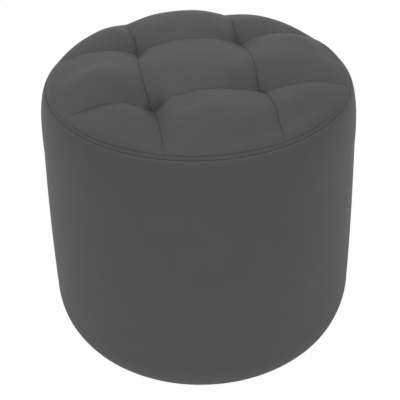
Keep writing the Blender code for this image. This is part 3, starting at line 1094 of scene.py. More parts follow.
@functools.cache
def screw_growth() -> Growth:
    """A cross-recessed wood screw, its head's outer face at height 0 and its tip upwards before it is turned.

    Returns:
        The tree, with inputs for its sizes, Place and Turn.
    """
    growth = Growth("wood_screw")
    names = ("Length", "Core", "Crest", "Pitch", "Head radius", "Head foot", "Head depth", "Recess")
    length, core, crest, pitch, head, foot, depth, recess = growth.sizes(*names)
    place, turn = growth.sizes("Place", "Turn", kind=Input.VECTOR)

    def cone(low: Any, high: Any, tall: Any, base: Any, sides: int) -> Socket:
        """A cone on a height."""
        feeds = {"Vertices": sides, "Radius Top": high, "Radius Bottom": low, "Depth": tall}
        return growth.raised(growth.add("GeometryNodeMeshCone", feeds=feeds).outputs["Mesh"], base)

    tip, long, short, deep = core * 2.2, recess * 2.0, recess * 0.34, depth * 1.3
    cross = growth.together(growth.block(long, short, deep), growth.block(short, long, deep))
    feeds = {"Mesh 1": cone(head, foot, depth, 0.0, 40), "Mesh 2": cross}
    cap = growth.add("GeometryNodeMeshBoolean", {"operation": "DIFFERENCE", "solver": "EXACT"}, feeds).outputs[0]
    shank = cone(core, core, length - tip - depth * 0.9, depth * 0.9, 16)
    point = cone(core, core * 0.12, tip, length - tip, 16)
    threaded, middle_radius = length - tip * 1.3 - depth * 2.0, (core + crest) * 0.5
    helix = growth.spiral(14, threaded / pitch, middle_radius, middle_radius, threaded)
    thread = growth.raised(growth.tube(helix, (crest - core) * 0.5, 4), depth * 2.0)
    growth.end(growth.shifted(growth.together(cap, shank, point, thread), place, turn), STEEL)
    return growth


@dataclass(frozen=True)
class Screw:
    """Sizes of one kind of wood screw; taper is the head's inner radius against its outer one."""

    core: float
    crest: float
    pitch: float
    head_depth: float
    taper: float
    recess: float = 0.0021

    def drive(self, name: str, node: str, turn: float, down: bool = False) -> None:
        """Make a screw in the place of a packed one.

        Args:
            name: The screw's name.
            node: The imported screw.
            turn: How far it is turned about its length.
            down: Whether its tip points down.
        """
        low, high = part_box(node)
        head = (high.x - low.x) / 2
        sizes = {
            "Length": high.z - low.z, "Core": self.core, "Crest": self.crest, "Pitch": self.pitch,
            "Head radius": head, "Head foot": head * self.taper, "Head depth": self.head_depth, "Recess": self.recess,
            "Place": (*middle(node), high.z if down else low.z), "Turn": (math.pi if down else 0.0, 0.0, turn),
        }
        settle(screw_growth().grow(name, sizes, crease=30.0), STEEL, node)


def tie_growth() -> Growth:
    """Three plies of twine laid round each other, with a wound knot at the lower end.

    Returns:
        The tree, with inputs Ply, Lay, Pitch, Length, Knot, Place and Turn.
    """
    growth = Growth("tuft_tie")
    ply, lay, pitch, length, knot = growth.sizes("Ply", "Lay", "Pitch", "Length", "Knot")
    place, turn = growth.sizes("Place", "Turn", kind=Input.VECTOR)
    strand = growth.tube(growth.spiral(12, length / pitch, lay, lay, length), ply, 8)
    plies = [growth.shifted(strand, turn=(0.0, 0.0, math.tau * index / 3)) for index in range(3)]
    turns = growth.spiral(20, 3.2, knot * 0.62, knot * 0.55, knot * 1.5)
    wound = growth.tube(turns, knot * 0.33, 8)
    crossing = growth.shifted(
        growth.tube(turns, knot * 0.30, 8), growth.join(0.0, knot * -0.5, knot * 0.9), (1.2, 0.3, 0.0))
    core = growth.add("GeometryNodeMeshUVSphere", feeds={"Segments": 16, "Rings": 8, "Radius": knot * 0.7})
    heart = growth.raised(core.outputs["Mesh"], knot * 0.8)
    hung = growth.raised(growth.together(wound, crossing, heart), knot * -1.6)
    growth.end(growth.shifted(growth.together(*plies, hung), place, turn), TWINE)
    return growth


def staple_growth() -> Growth:
    """Staples in a ring, their crowns along it and their legs upwards.

    Returns:
        The tree, with inputs Ring radius, Height, Count, Crown, Leg and Wire.
    """
    growth = Growth("ring_of_staples")
    radius, height, crown, leg, wire = growth.sizes("Ring radius", "Height", "Crown", "Leg", "Wire")
    (count,) = growth.sizes("Count", kind=Input.COUNT)
    ring = growth.add("GeometryNodeMeshCircle", feeds={"Vertices": count, "Radius": radius})
    post = growth.block(wire, wire * 1.8, leg)
    legs = [growth.shifted(post, growth.join((crown - wire) * side, 0.0, leg * 0.5)) for side in (-0.5, 0.5)]
    staple = growth.together(growth.block(crown, wire * 1.8, wire), *legs)
    x, y, _ = growth.split(growth.add("GeometryNodeInputPosition").outputs[0])
    index = Term(growth, growth.add("GeometryNodeInputIndex").outputs[0])
    skew = (index * 2.4).sin() * 0.10
    angle = growth.math("ARCTAN2", y, x) + math.pi / 2 + skew
    placed = growth.copies(staple, ring.outputs[0], growth.join(0.0, 0.0, angle))
    growth.end(growth.raised(placed, height), STEEL)
    return growth


@dataclass(frozen=True)
class Rim:
    """Where the top panels, the band between two creases and the side band meet."""

    height: float = 0.3537
    radius: float = 0.182
    width: float = 0.0044
    thickness: float = 0.0026
    lean: float = math.radians(54)
    gap: float = 0.00005
    flush: float = 0.00128

    def edge(self, side: int) -> Spot:
        """Where the neighbour's edge lies.

        Args:
            side: -1 for the panels, 1 for the side band.

        Returns:
            Radius and height.
        """
        reach = side * (self.width / 2 + self.gap)
        radius = self.radius + reach * math.cos(self.lean) + self.flush * math.sin(self.lean)
        return radius, self.height - reach * math.sin(self.lean) + self.flush * math.cos(self.lean)

    def into(self, out: Array) -> Array:
        """Directions square to the band, into the pouf, from the level directions out of it."""
        return out * -math.sin(self.lean) - UP * math.cos(self.lean)

    def behind(self, radius: float, height: float, depth: float) -> Spot:
        """Radius and height of the point that lies a depth behind another, square to the band."""
        return radius - math.sin(self.lean) * depth, height - math.cos(self.lean) * depth


@dataclass(frozen=True)
class Swell:
    """A place where the stuffing stands a little higher or lower than the even form.

    Its centre is at a radius and an angle from the pouf's middle; wide is its reach along one direction and deep its
    reach across it, and turn is that direction's angle where it isn't the centre's own. Angles are in degrees.
    """

    radius: float
    angle: float
    height: float
    wide: float
    deep: float
    turn: float | None = None

    def lift(self, x: Array, y: Array) -> Array:
        """Height that it adds.

        Args:
            x: Places along X.
            y: Places along Y.

        Returns:
            The height at each.
        """
        at = math.radians(self.angle)
        turn = at if self.turn is None else math.radians(self.turn)
        from_x, from_y = x - self.radius * math.cos(at), y - self.radius * math.sin(at)
        along = from_x * math.cos(turn) + from_y * math.sin(turn)
        across = from_y * math.cos(turn) - from_x * math.sin(turn)
        return self.height * np.exp(-((along / self.wide) ** 2) - (across / self.deep) ** 2)


# Radius in mm, angle, height, reach and breadth in mm, and for some the direction of the reach.
SWELLS = tuple(Swell(r / 1000, a, h / 1000, w / 1000, d / 1000, *turn) for r, a, h, w, d, *turn in (
    (0, 0, 2, 36, 36), (125, -90, -1, 30, 36), (130, -135, 1.5, 26, 30), (164, 180, -3.2, 15, 40),
    (164, -150, -1.5, 14, 40), (164, -120, -2, 14, 40), (164, -90, -3.4, 15, 40), (164, -60, -4, 15, 40),
    (164, -30, -1, 14, 40), (164, 0, -3.4, 15, 40), (66, 180, 1.5, 12, 26), (66, -90, -2.6, 12, 26),
    (135, -119.2, -3.5, 12, 26, 0), (135, -150.8, 2, 12, 26, 90), (135, 60.8, 3.5, 12, 26, 0),
    (135, 29.2, 2.5, 12, 26, 90), (135, 119.2, -2.5, 12, 26, 0), (124, -166, 1.5, 20, 26, 90), (120, -90, 3, 20, 26),
    (87, 146.3, -4.1, 16, 16), (126, 90, 3.7, 26, 26), (145, 172.9, -1.2, 26, 26), (109, -170.5, 3.3, 26, 26),
    (103, -110.6, -3.3, 16, 16), (77, 38.7, -3.2, 16, 16), (137, -156.8, 2.8, 26, 26), (108, 0, 2.8, 26, 26),
    (74, -14, 2.8, 26, 26), (137, 127.9, 3.4, 16, 16), (140, -59, 2.3, 16, 16), (145, -65.6, 3.4, 16, 16),
    (145, -119.7, 3.4, 26, 26), (111, -77.5, -2.1, 16, 16), (145, -29.7, 2.1, 26, 26), (73, -99.5, 2, 16, 16),
    (80, 26.6, -1.9, 26, 26), (148, 166, -3.6, 26, 26), (87, -123.7, 3, 16, 16), (127, -171.9, 2.8, 26, 26),
    (145, -150.3, 4.1, 26, 26), (125, 73.3, 2.4, 16, 16), (127, 8.1, 4.1, 26, 26), (114, 108.4, 2.1, 26, 26),
    (137, 52.1, 2, 10, 10), (99, -104, -1.9, 16, 16), (145, 155.6, 1.8, 16, 16), (40, -153.4, 1.7, 26, 26),
    (90, 143.1, -1.4, 26, 26), (68, 45, -1.4, 16, 16), (131, -164.1, 3.7, 26, 26), (87, -123.7, 1.2, 10, 10),
    (109, -9.5, 1.2, 26, 26), (152, 161.6, -1.2, 10, 10), (163, 173.7, -1.2, 26, 26), (168, -4.1, -1.1, 16, 16),
    (150, -118.6, 1, 16, 16), (154, -38.7, 1, 16, 16), (170, -81.9, -2.6, 16, 16), (172, 155.2, 0.9, 16, 16),
    (83, -125.5, 2.2, 11, 11), (77, -58.5, -6.2, 14, 14), (103, -38, -2.8, 12, 12), (128, -29.6, -1.6, 20, 14, 0),
    (71, 78, -1, 26, 14, 0), (85, 55.5, -2, 12, 12), (107, -140.5, -4.8, 11, 12), (120, -56.6, 5, 30, 12, 90),
    (98, -52, 1.6, 12, 12), (122, 11.3, 1.6, 16, 16), (114, -18.4, 1.5, 26, 26), (18, 180, 1.8, 26, 26),
    (142, -150.9, -5.8, 24, 14, 0), (115, -133.9, -3.5, 10, 10), (131, -140, 1, 12, 12),
))


@dataclass(frozen=True)
class Fold:
    """A short crease that runs out from a tuft."""

    start: tuple[float, float]
    end: tuple[float, float]
    depth: float
    width: float

    def drop(self, x: Array, y: Array) -> Array:
        """Depth that it takes away.

        Args:
            x: Places along X.
            y: Places along Y.

        Returns:
            The depth at each.
        """
        from_x, from_y = x - self.start[0], y - self.start[1]
        run_x, run_y = self.end[0] - self.start[0], self.end[1] - self.start[1]
        length = math.hypot(run_x, run_y)
        along = (from_x * run_x + from_y * run_y) / length**2
        across = (from_y * run_x - from_x * run_y) / length
        spread = self.width * (1 + 1.5 * np.clip(along, 0, 1))
        fade = np.clip(1 - along, 0, 1) ** 1.2 * np.clip(1 + along * 6, 0, 1)
        return self.depth * fade * np.exp(-((across / spread) ** 2))


FOLDS = (
    Fold((-0.0662, -0.0722), (-0.081, -0.0690), 0.0016, 0.0012),
    Fold((-0.0662, -0.0722), (-0.051, -0.0555), 0.0022, 0.0035),
    Fold((0.0637, -0.0632), (0.074, -0.058), 0.0016, 0.0012),
    Fold((0.0676, 0.0701), (0.060, 0.092), 0.0020, 0.0030),
)


@dataclass(frozen=True)
class TopForm:
    """The outer face of the tufted top, over an even three by three pattern that is then shifted to its real seams.

    The bows are places of the pattern and where they really lie, and closed lists the stretches of seam that a
    pillow presses shut, as a place of the pattern and a reach.
    """

    rim: Rim = Rim()
    offset: float = 0.0661
    sink: float = 0.0023
    pit: float = 0.008
    pit_ease: float = 0.014
    pit_depths: tuple[float, ...] = (0.0030, 0.0030, 0.0044, 0.0036)
    pit_reach: float = 0.0070
    lift_reach: float = 0.028
    tuck: float = 0.0006
    tuck_reach: float = 0.0055
    tuck_start: float = 0.02
    tuft_reach: float = 0.0576
    crown: float = 0.0259
    crown_power: float = 7.0
    crown_rounding: float = 0.80
    inner_draw: float = 0.242
    outer_draw: float = 0.502
    seam_reach: float = 0.0466
    seam_arch: float = 2.08
    roll: float = 0.0002
    roll_fade: float = 0.004
    rim_ease: float = 0.018
    shift_spread: float = 0.055
    corners: tuple[tuple[int, int], ...] = ((-1, 1), (1, 1), (-1, -1), (1, -1))
    tufts: tuple[Point, ...] = (
        (-0.0652, 0.0694, 0.0015), (0.0676, 0.0701, 0.0015), (-0.0662, -0.0722, -0.0015), (0.0637, -0.0632, 0.0),
    )
    rim_angles: tuple[float, ...] = (-156.7, -111.1, -69.15, -21.55, 21.32, 68.3, 112.4, 158.7)
    bows: tuple[tuple[Spot, Spot], ...] = (((0.0, 0.0), (0.0, 0.0)), ((-0.0661, -0.013), (-0.0712, -0.013)))
    swells: tuple[Swell, ...] = SWELLS
    folds: tuple[Fold, ...] = FOLDS
    closed: tuple[Point, ...] = (
        (0.066, -0.098, 0.022), (-0.046, -0.068, 0.014), (-0.084, -0.068, 0.010),
        (0.068, 0.052, 0.014), (-0.115, 0.068, 0.045), (0.067, 0.130, 0.028),
    )

    @property
    def edge_radius(self) -> float:
        """Radius at which the panels end."""
        return self.rim.edge(-1)[0]

    @property
    def edge_height(self) -> float:
        """Height at which the panels end."""
        return self.rim.edge(-1)[1]

    @property
    def seam_end(self) -> float:
        """How far a seam of the pattern runs out from its middle."""
        return math.sqrt(self.edge_radius**2 - self.offset**2)

    @functools.cached_property
    def shifts(self) -> tuple[Array, Array]:
        """Known shifts of the pattern.

        Returns:
            The places whose shift is known, and the weights that give every other place's.
        """
        near, far = self.offset, self.seam_end
        even = [(x * near, y * near) for x, y in self.corners]
        even += [(-far, -near), (-near, -far), (near, -far), (far, -near)]
        even += [(far, near), (near, far), (-near, far), (-far, near)]
        moved = [tuft[:2] for tuft in self.tufts]
        for angle in map(math.radians, self.rim_angles):
            moved.append((self.edge_radius * math.cos(angle), self.edge_radius * math.sin(angle)))
        known = np.array(even + [place for place, _ in self.bows])
        real = np.array(moved + [place for _, place in self.bows])
        share = np.exp(-(((known[:, None] - known[None]) ** 2).sum(-1)) / self.shift_spread**2)
        return known, np.linalg.solve(share, real - known)

    def from_seams(self, u: Array, v: Array) -> tuple[Array, Array]:
        """Distances from the nearer seam along Y and from the nearer one along X."""
        return np.abs(np.abs(u) - self.offset), np.abs(np.abs(v) - self.offset)

    def draw(self, across: Array, along: Array) -> Array:
        """How far a seam pulls the top down, from 0 to 1.

        Args:
            across: Distance from the seam.
            along: Distance past its tuft.

        Returns:
            The pull.
        """
        bank = np.maximum(0.0, 1 - np.abs(across) / self.seam_reach) ** 2
        inner = self.inner_draw + (1 - self.inner_draw) * np.maximum(0.0, 1 + along / self.offset) ** self.seam_arch
        outer = self.outer_draw + (1 - self.outer_draw) * np.maximum(0.0, 1 - along / self.tuft_reach) ** 2
        return np.where(along < 0, inner, outer) * bank

    def height(self, u: Array, v: Array) -> Array:
        """Height of the even form, without its rolled seam edges.

        Args:
            u: Places of the pattern along X.
            v: Places along Y.

        Returns:
            The height at each.
        """
        share = np.minimum(np.hypot(u, v) / self.edge_radius, 1.0)
        crown = self.crown * (1 - share**self.crown_power) ** self.crown_rounding
        from_x, from_y = np.abs(u) - self.offset, np.abs(v) - self.offset
        pull_x, pull_y = self.draw(from_x, from_y), self.draw(from_y, from_x)
        both = (pull_x**4 + pull_y**4) ** 0.25
        pull = np.minimum(both / (1 + (2**0.25 - 1) * pull_x * pull_y), 1.0)
        return self.edge_height + crown * (1 - pull) - self.sink * np.exp(-np.hypot(from_x, from_y) / self.pit)

    def rolled(self, u: Array, v: Array) -> Array:
        """How far the face rolls down into the nearest seam.

        Args:
            u: Places of the pattern along X.
            v: Places along Y.

        Returns:
            The depth at each.
        """
        share = np.clip(1 - np.minimum(*self.from_seams(u, v)) / self.roll, 0.0, 1.0)
        return self.roll * (1 - np.sqrt(1 - share**2)) * self.openness(u, v)

    def openness(self, u: Array, v: Array) -> Array:
        """How far a seam stands open.

        Args:
            u: Places of the pattern along X.
            v: Places along Y.

        Returns:
            For each, from 0 where a pillow presses the seam shut to 1.
        """
        share = np.ones_like(u)
        for x, y, reach in self.closed:
            share = share * (1 - np.exp(-(((u - x) / reach) ** 2) - ((v - y) / reach) ** 2))
        return share

    def shifted(self, u: Array, v: Array) -> tuple[Array, Array]:
        """Where places of the even pattern really lie.

        Args:
            u: Places along X.
            v: Places along Y.

        Returns:
            The real places along X and along Y.
        """
        known, weights = self.shifts
        near = (u[..., None] - known[:, 0]) ** 2 + (v[..., None] - known[:, 1]) ** 2
        shift = np.exp(-near / self.shift_spread**2) @ weights
        x, y = u + shift[..., 0], v + shift[..., 1]
        far, moved = np.hypot(u, v), np.hypot(x, y)
        inner = 1 - np.minimum(far / self.edge_radius, 1.0) ** 8
        keep = (far + inner * (moved - far)) / np.maximum(moved, 1e-9)
        return x * keep, y * keep

    def place(self, u: Array, v: Array, rolled: bool = True) -> Array:
        """Points of the face over places of the even pattern.

        Args:
            u: Places along X.
            v: Places along Y.
            rolled: Whether the face rolls down at the seams.

        Returns:
            The points, one row each.
        """
        x, y = self.shifted(u, v)
        z = self.height(u, v)
        from_rim = self.edge_radius - np.hypot(u, v)
        inside = np.clip(from_rim / self.rim_ease, 0.0, 1.0)
        inside = inside * inside * (3 - 2 * inside)
        loose = inside
        for (_, _, lift), deep, (side_x, side_y) in zip(self.tufts, self.pit_depths, self.corners):
            around = np.hypot(u - side_x * self.offset, v - side_y * self.offset)
            z = z + lift * np.exp(-((around / self.lift_reach) ** 2))
            z = z - deep * np.exp(-((around / self.pit_reach) ** 2))
            loose = loose * (1 - np.exp(-((around / self.pit_ease) ** 2)))
        from_x, from_y = self.from_seams(u, v)
        tuck = np.exp(-np.minimum(from_x, from_y) / self.tuck_reach)
        tuck = tuck * (1 - np.exp(-((np.hypot(from_x, from_y) / self.tuck_start) ** 2)))
        z = z - self.tuck * tuck * inside * self.openness(u, v)
        for swell in self.swells:
            z = z + swell.lift(x, y) * loose
        for fold in self.folds:
            z = z - fold.drop(x, y)
        if rolled:
            z = z - self.rolled(u, v) * np.clip(from_rim / self.roll_fade, 0.0, 1.0)
        return np.stack([x, y, z], -1)


def eased(count: int, share: float = 0.85) -> Array:
    """Steps from 0 to 1 that come closer together towards both ends."""
    even = np.linspace(0.0, 1.0, count)
    return even * (1 - share) + (1 - np.cos(math.pi * even)) / 2 * share


class Spread(Enum):
    """Kinds of places in the top's pattern."""

    CENTRE = "centre"
    SIDE = "side"
    CORNER = "corner"


@dataclass(frozen=True)
class Patch:
    """One of the nine places of the top's pattern, turned by some quarters from the right-hand ones."""

    name: str
    spread: Spread
    quarter: int

    def grid(self, form: TopForm, count: int, gap: float) -> tuple[Array, Array]:
        """Places of the even pattern that the patch covers.

        Args:
            form: The top.
            count: Points each way.
            gap: Distance left to the middle of each seam.

        Returns:
            The places along X and along Y, by row and column.
        """
        a, b = np.meshgrid(eased(count), eased(count), indexing="ij")
        radius, near, past = form.edge_radius, form.offset - gap, form.offset + gap
        if self.spread is Spread.CENTRE:
            u, v = near * (2 * a - 1), near * (2 * b - 1)
        elif self.spread is Spread.SIDE:
            v = near * (2 * b - 1)
            u = past + (np.sqrt(radius**2 - v**2) - past) * a
        else:
            low, middle = math.asin(past / radius), math.pi / 4
            turn_a, turn_b = low + (middle - low) * a, low + (middle - low) * b
            u = past * (1 - a) * (1 - b) - radius * math.cos(middle) * a * b
            u += radius * (np.sin(turn_a) * b + np.cos(turn_b) * a)
            v = u.T
        cos, sin = (1, 0, -1, 0)[self.quarter], (0, 1, 0, -1)[self.quarter]
        return cos * u - sin * v, sin * u + cos * v


def patches() -> Iterator[Patch]:
    """The nine patches of the top.

    Yields:
        Each patch.
    """
    yield Patch("centre", Spread.CENTRE, 0)
    for quarter, side in enumerate(("right", "back", "left", "front")):
        yield Patch(side, Spread.SIDE, quarter)
    for quarter, corner in enumerate(("back_right", "back_left", "front_left", "front_right")):
        yield Patch(corner, Spread.CORNER, quarter)


@dataclass
class TuftedTop:
    """The nine leatherette panels and the stitches in their seams."""

    form: TopForm
    skin: float = 0.0012
    seam_gap: float = 0.00006
    allowance: float = 0.0035
    curve_share: float = 1.06
    # Reach of the shade painted into the seams, with a little dust.
    seam_shade_and_dust: float = 0.0005
    points: int = 73
    stitch_depth: float = 0.0016
    stitch_end: float = 0.002

    def build(self) -> None:
        """Make the panels and their stitches."""
        for patch in patches():
            self.build_panel(patch)
        self.build_stitches()

    def build_panel(self, patch: Patch) -> None:
        """Make one panel as a closed sheet with its seam allowances turned down.

        Args:
            patch: Which one.
        """
        u, v = patch.grid(self.form, self.points, self.seam_gap / 2)
        grid = self.form.place(u, v)
        edge = border(self.points, self.points)
        from_rim = self.form.edge_radius - np.hypot(u, v)
        out = unit(grid.reshape(-1, 3)[edge] * (1, 1, 0))
        turn = np.where(from_rim.ravel()[edge][:, None] < self.seam_gap, self.form.rim.into(out), -UP)
        points, faces, source = shell(grid, grid_normals(grid, UP), self.skin, turn * self.allowance)
        away = np.minimum(np.minimum(*self.form.from_seams(u, v)), from_rim)
        # Weight of the shade painted into the seams, with a little dust; it fades where a pillow presses a seam shut.
        seam_shade_and_dust = (np.exp(-((away / self.seam_shade_and_dust) ** 2)) * self.form.openness(u, v)).ravel()[source]
        name = f"cover_panel_{patch.name}"
        piece = mesh_piece(name, mesh_of(name, points, faces), LEATHERETTE, 75.0, seam_shade_and_dust=seam_shade_and_dust)
        settle(piece, LEATHERETTE, f"top_panel_{patch.name}")

    def build_stitches(self) -> None:
        """Make the stitches of the four seams across the top."""
        reach = self.form.seam_end - self.stitch_end
        run = np.linspace(-reach, reach, 160)
        for name, side, along_x in (("left", -1, False), ("right", 1, False), ("front", -1, True), ("back", 1, True)):
            seam = np.full_like(run, side * self.form.offset)
            path = self.form.place(*((run, seam) if along_x else (seam, run)), rolled=False)
            path[:, 2] -= self.form.roll + self.stitch_depth
            sew(f"seam_stitches_{name}", path)


@dataclass
class SideWall:
    """The side band, the narrow band above it, and the stitches that join them."""

    rim: Rim = Rim()
    shoulder_radius: float = 0.196
    shoulder_drop: float = 0.0745
    base_radius: float = 0.2045
    bow: float = 0.0012
    bottom: float = 0.0072
    round_width: float = 0.030
    round_height: float = 0.050
    hem_radius: float = 0.1509
    skin: float = 0.0012
    roll: float = 0.0005
    columns: int = 300
    seam_columns: tuple[float, ...] = (0.00008, 0.0003, 0.0006, 0.0010, 0.0015, 0.0021, 0.0028)
    seam_clear: float = 0.004
    seam_angle: float = math.pi / 2
    seam_turn: float = 0.003
    crease_turn: float = 0.002
    hem_turn: float = 0.0005
    # Reaches of the shade painted into the back seam and into the upper crease.
    back_seam_shade_reach: float = 0.0008
    crease_shade_reach: float = 0.0005
    slack: Spot = (0.00022, 0.00014)
    slack_top: float = 0.351
    slack_fade: float = 0.03
    gather: float = 0.00022
    gather_drop: float = 0.00015
    gather_height: float = 0.012
    closing: float = 0.02
    taper_share: float = 0.93
    stitch_depth: float = 0.0009
    back_stitches: Spot = (0.345, 0.02)
    back_depth: float = 0.0006

    @property
    def straight(self) -> Spot:
        """Heights between which the band runs straight."""
        return self.bottom + self.round_height, self.rim.edge(1)[1] - self.shoulder_drop

    def radius(self, height: Array | float) -> Array:
        """Outer radius of the side band.

        Args:
            height: Heights.

        Returns:
            The radius at each.
        """
        edge_radius, (round_top, shoulder) = self.rim.edge(1)[0], self.straight
        below = np.clip((round_top - height) / self.round_height, 0.0, 1.0)
        low = self.base_radius - self.round_width * (1 - np.sqrt(1 - below**2))
        share = np.clip((height - round_top) / (shoulder - round_top), 0.0, 1.0)
        middle = self.base_radius + (self.shoulder_radius - self.base_radius) * share
        middle = middle + 4 * self.bow * share * (1 - share)
        above = np.clip((height - shoulder) / self.shoulder_drop, 0.0, 1.0)
        high = edge_radius + (self.shoulder_radius - edge_radius) * np.sqrt(1 - above**2)
        return np.where(height < round_top, low, np.where(height < shoulder, middle, high))

    def within(self, height: float, gap: float) -> float:
        """Radius a gap inside the band's inner face at a height."""
        return float(self.radius(height)) - self.skin - gap

    def outline(self) -> tuple[Array, Array]:
        """The band's outer face in section, from the edge of its hem to the upper crease.

        Returns:
            Radii and heights.
        """
        round_top, shoulder = self.straight
        hem = np.linspace(self.hem_radius, self.base_radius - self.round_width, 12)[:-1]
        low = round_top - self.round_height * np.cos(np.linspace(0.0, math.pi / 2, 22))
        middle = np.linspace(round_top, shoulder, 40)[1:-1]
        high = shoulder + self.shoulder_drop * np.sin(np.linspace(0.0, math.pi / 2, 40))
        heights = np.concatenate([low, middle, high])
        return np.concatenate([hem, self.radius(heights)]), np.concatenate([np.full(len(hem), self.bottom), heights])

    def build(self) -> None:
        """Make the side band, the rim band and the stitches."""
        self.build_band()
        self.build_rim_band()
        self.build_stitches()

    def surface(self, radius: Array, height: Array, angle: Array, away: Array) -> Array:
        """Points of the band's outer face, slack on the wall and gathered under the hem.

        Args:
            radius: Radii of the even form.
            height: Its heights.
            angle: Its angles.
            away: Distances from the back seam.

        Returns:
            The points.
        """
        share = np.clip(1 - away / self.roll, 0.0, 1.0)
        rolled = self.roll * (1 - np.sqrt(1 - share**2))
        on_wall = np.clip((height - self.bottom) / self.slack_fade, 0.0, 1.0)
        on_wall = on_wall * np.clip((self.slack_top - height) / self.slack_fade, 0.0, 1.0)
        slack = self.slack[0] * np.sin(5 * angle + 11 * height + 0.4)
        slack = slack + self.slack[1] * np.sin(13 * angle - 23 * height + 1.7)
        under = np.clip((self.bottom + self.gather_height - height) / self.gather_height, 0.0, 1.0)
        gathers = (np.sin(64 * angle) + 0.6 * np.sin(93 * angle + 1.1)) * self.gather * under
        gathers = gathers * np.clip((self.base_radius - radius) / self.slack_fade, 0.0, 1.0)
        far = radius + slack * on_wall - rolled
        return np.stack([np.cos(angle) * far, np.sin(angle) * far, height + np.maximum(gathers, -self.gather_drop)], -1)

    def build_band(self) -> None:
        """Make the side band: one strip closed at the back, its lower edge turned in under the board."""
        radii, heights = self.outline()
        fine = np.array(self.seam_columns) / self.shoulder_radius
        start = self.seam_clear / self.shoulder_radius
        turned = np.concatenate([fine, np.linspace(start, math.tau - start, self.columns), math.tau - fine[::-1]])
        radius, angle = np.meshgrid(radii, self.seam_angle + turned, indexing="ij")
        height = np.broadcast_to(heights[:, None], radius.shape)
        away = np.broadcast_to(np.minimum(turned, math.tau - turned) * self.shoulder_radius, radius.shape)
        grid = self.surface(radius, height, angle, away)
        out = np.stack([np.cos(angle), np.sin(angle), np.zeros_like(angle)], -1)
        rows, cols = radius.shape
        edge = border(rows, cols)
        outs, row = out.reshape(-1, 3)[edge], (edge // cols)[:, None]
        turn = np.where(row == rows - 1, self.rim.into(outs) * self.crease_turn, -outs * self.seam_turn)
        turn = np.where(row == 0, -outs * self.hem_turn, turn)
        points, faces, source = shell(grid, grid_normals(grid, out[rows // 2, cols // 2]), self.skin, turn)
        along = np.concatenate([[0.0], np.cumsum(np.hypot(np.diff(radii), np.diff(heights)))])
        # Weight of the shade painted into the back seam and the upper crease, with a little dust.
        at_seam = np.exp(-((away / self.back_seam_shade_reach) ** 2))
        at_crease = np.exp(-(((along[-1] - along) / self.crease_shade_reach) ** 2))[:, None]
        seam_shade_and_dust = np.maximum(at_seam, at_crease).ravel()[source]
        name = "side_cover_band"
        piece = mesh_piece(name, mesh_of(name, points, faces), LEATHERETTE, 75.0, seam_shade_and_dust=seam_shade_and_dust)
        settle(piece, LEATHERETTE, "side_band")

    def build_rim_band(self) -> None:
        """Make the narrow band between the two creases."""
        sizes = {
            "Ring radius": self.rim.radius, "Ring height": self.rim.height, "Width": self.rim.width,
            "Thickness": self.rim.thickness, "Lean": self.rim.lean, "Around": 321,
        }
        piece = piping_growth().grow("rim_band", sizes, weld=0.00001)
        settle(piece, LEATHERETTE, "rim_piping")

    def build_stitches(self) -> None:
        """Make the stitches in the two creases of the rim and in the back seam."""
        turn = np.linspace(0.0, math.tau, 241)
        for name, side in (("upper", -1), ("lower", 1)):
            radius, height = self.rim.behind(*self.rim.edge(side), self.stitch_depth)
            path = np.stack([radius * np.cos(turn), radius * np.sin(turn), np.full_like(turn, height)], -1)
            sew(f"crease_stitches_{name}", path)
        height = np.linspace(*self.back_stitches, 120)
        radius = self.radius(height) - self.roll - self.back_depth
        sew("back_seam_stitches", np.stack([np.zeros_like(height), radius, height], -1))


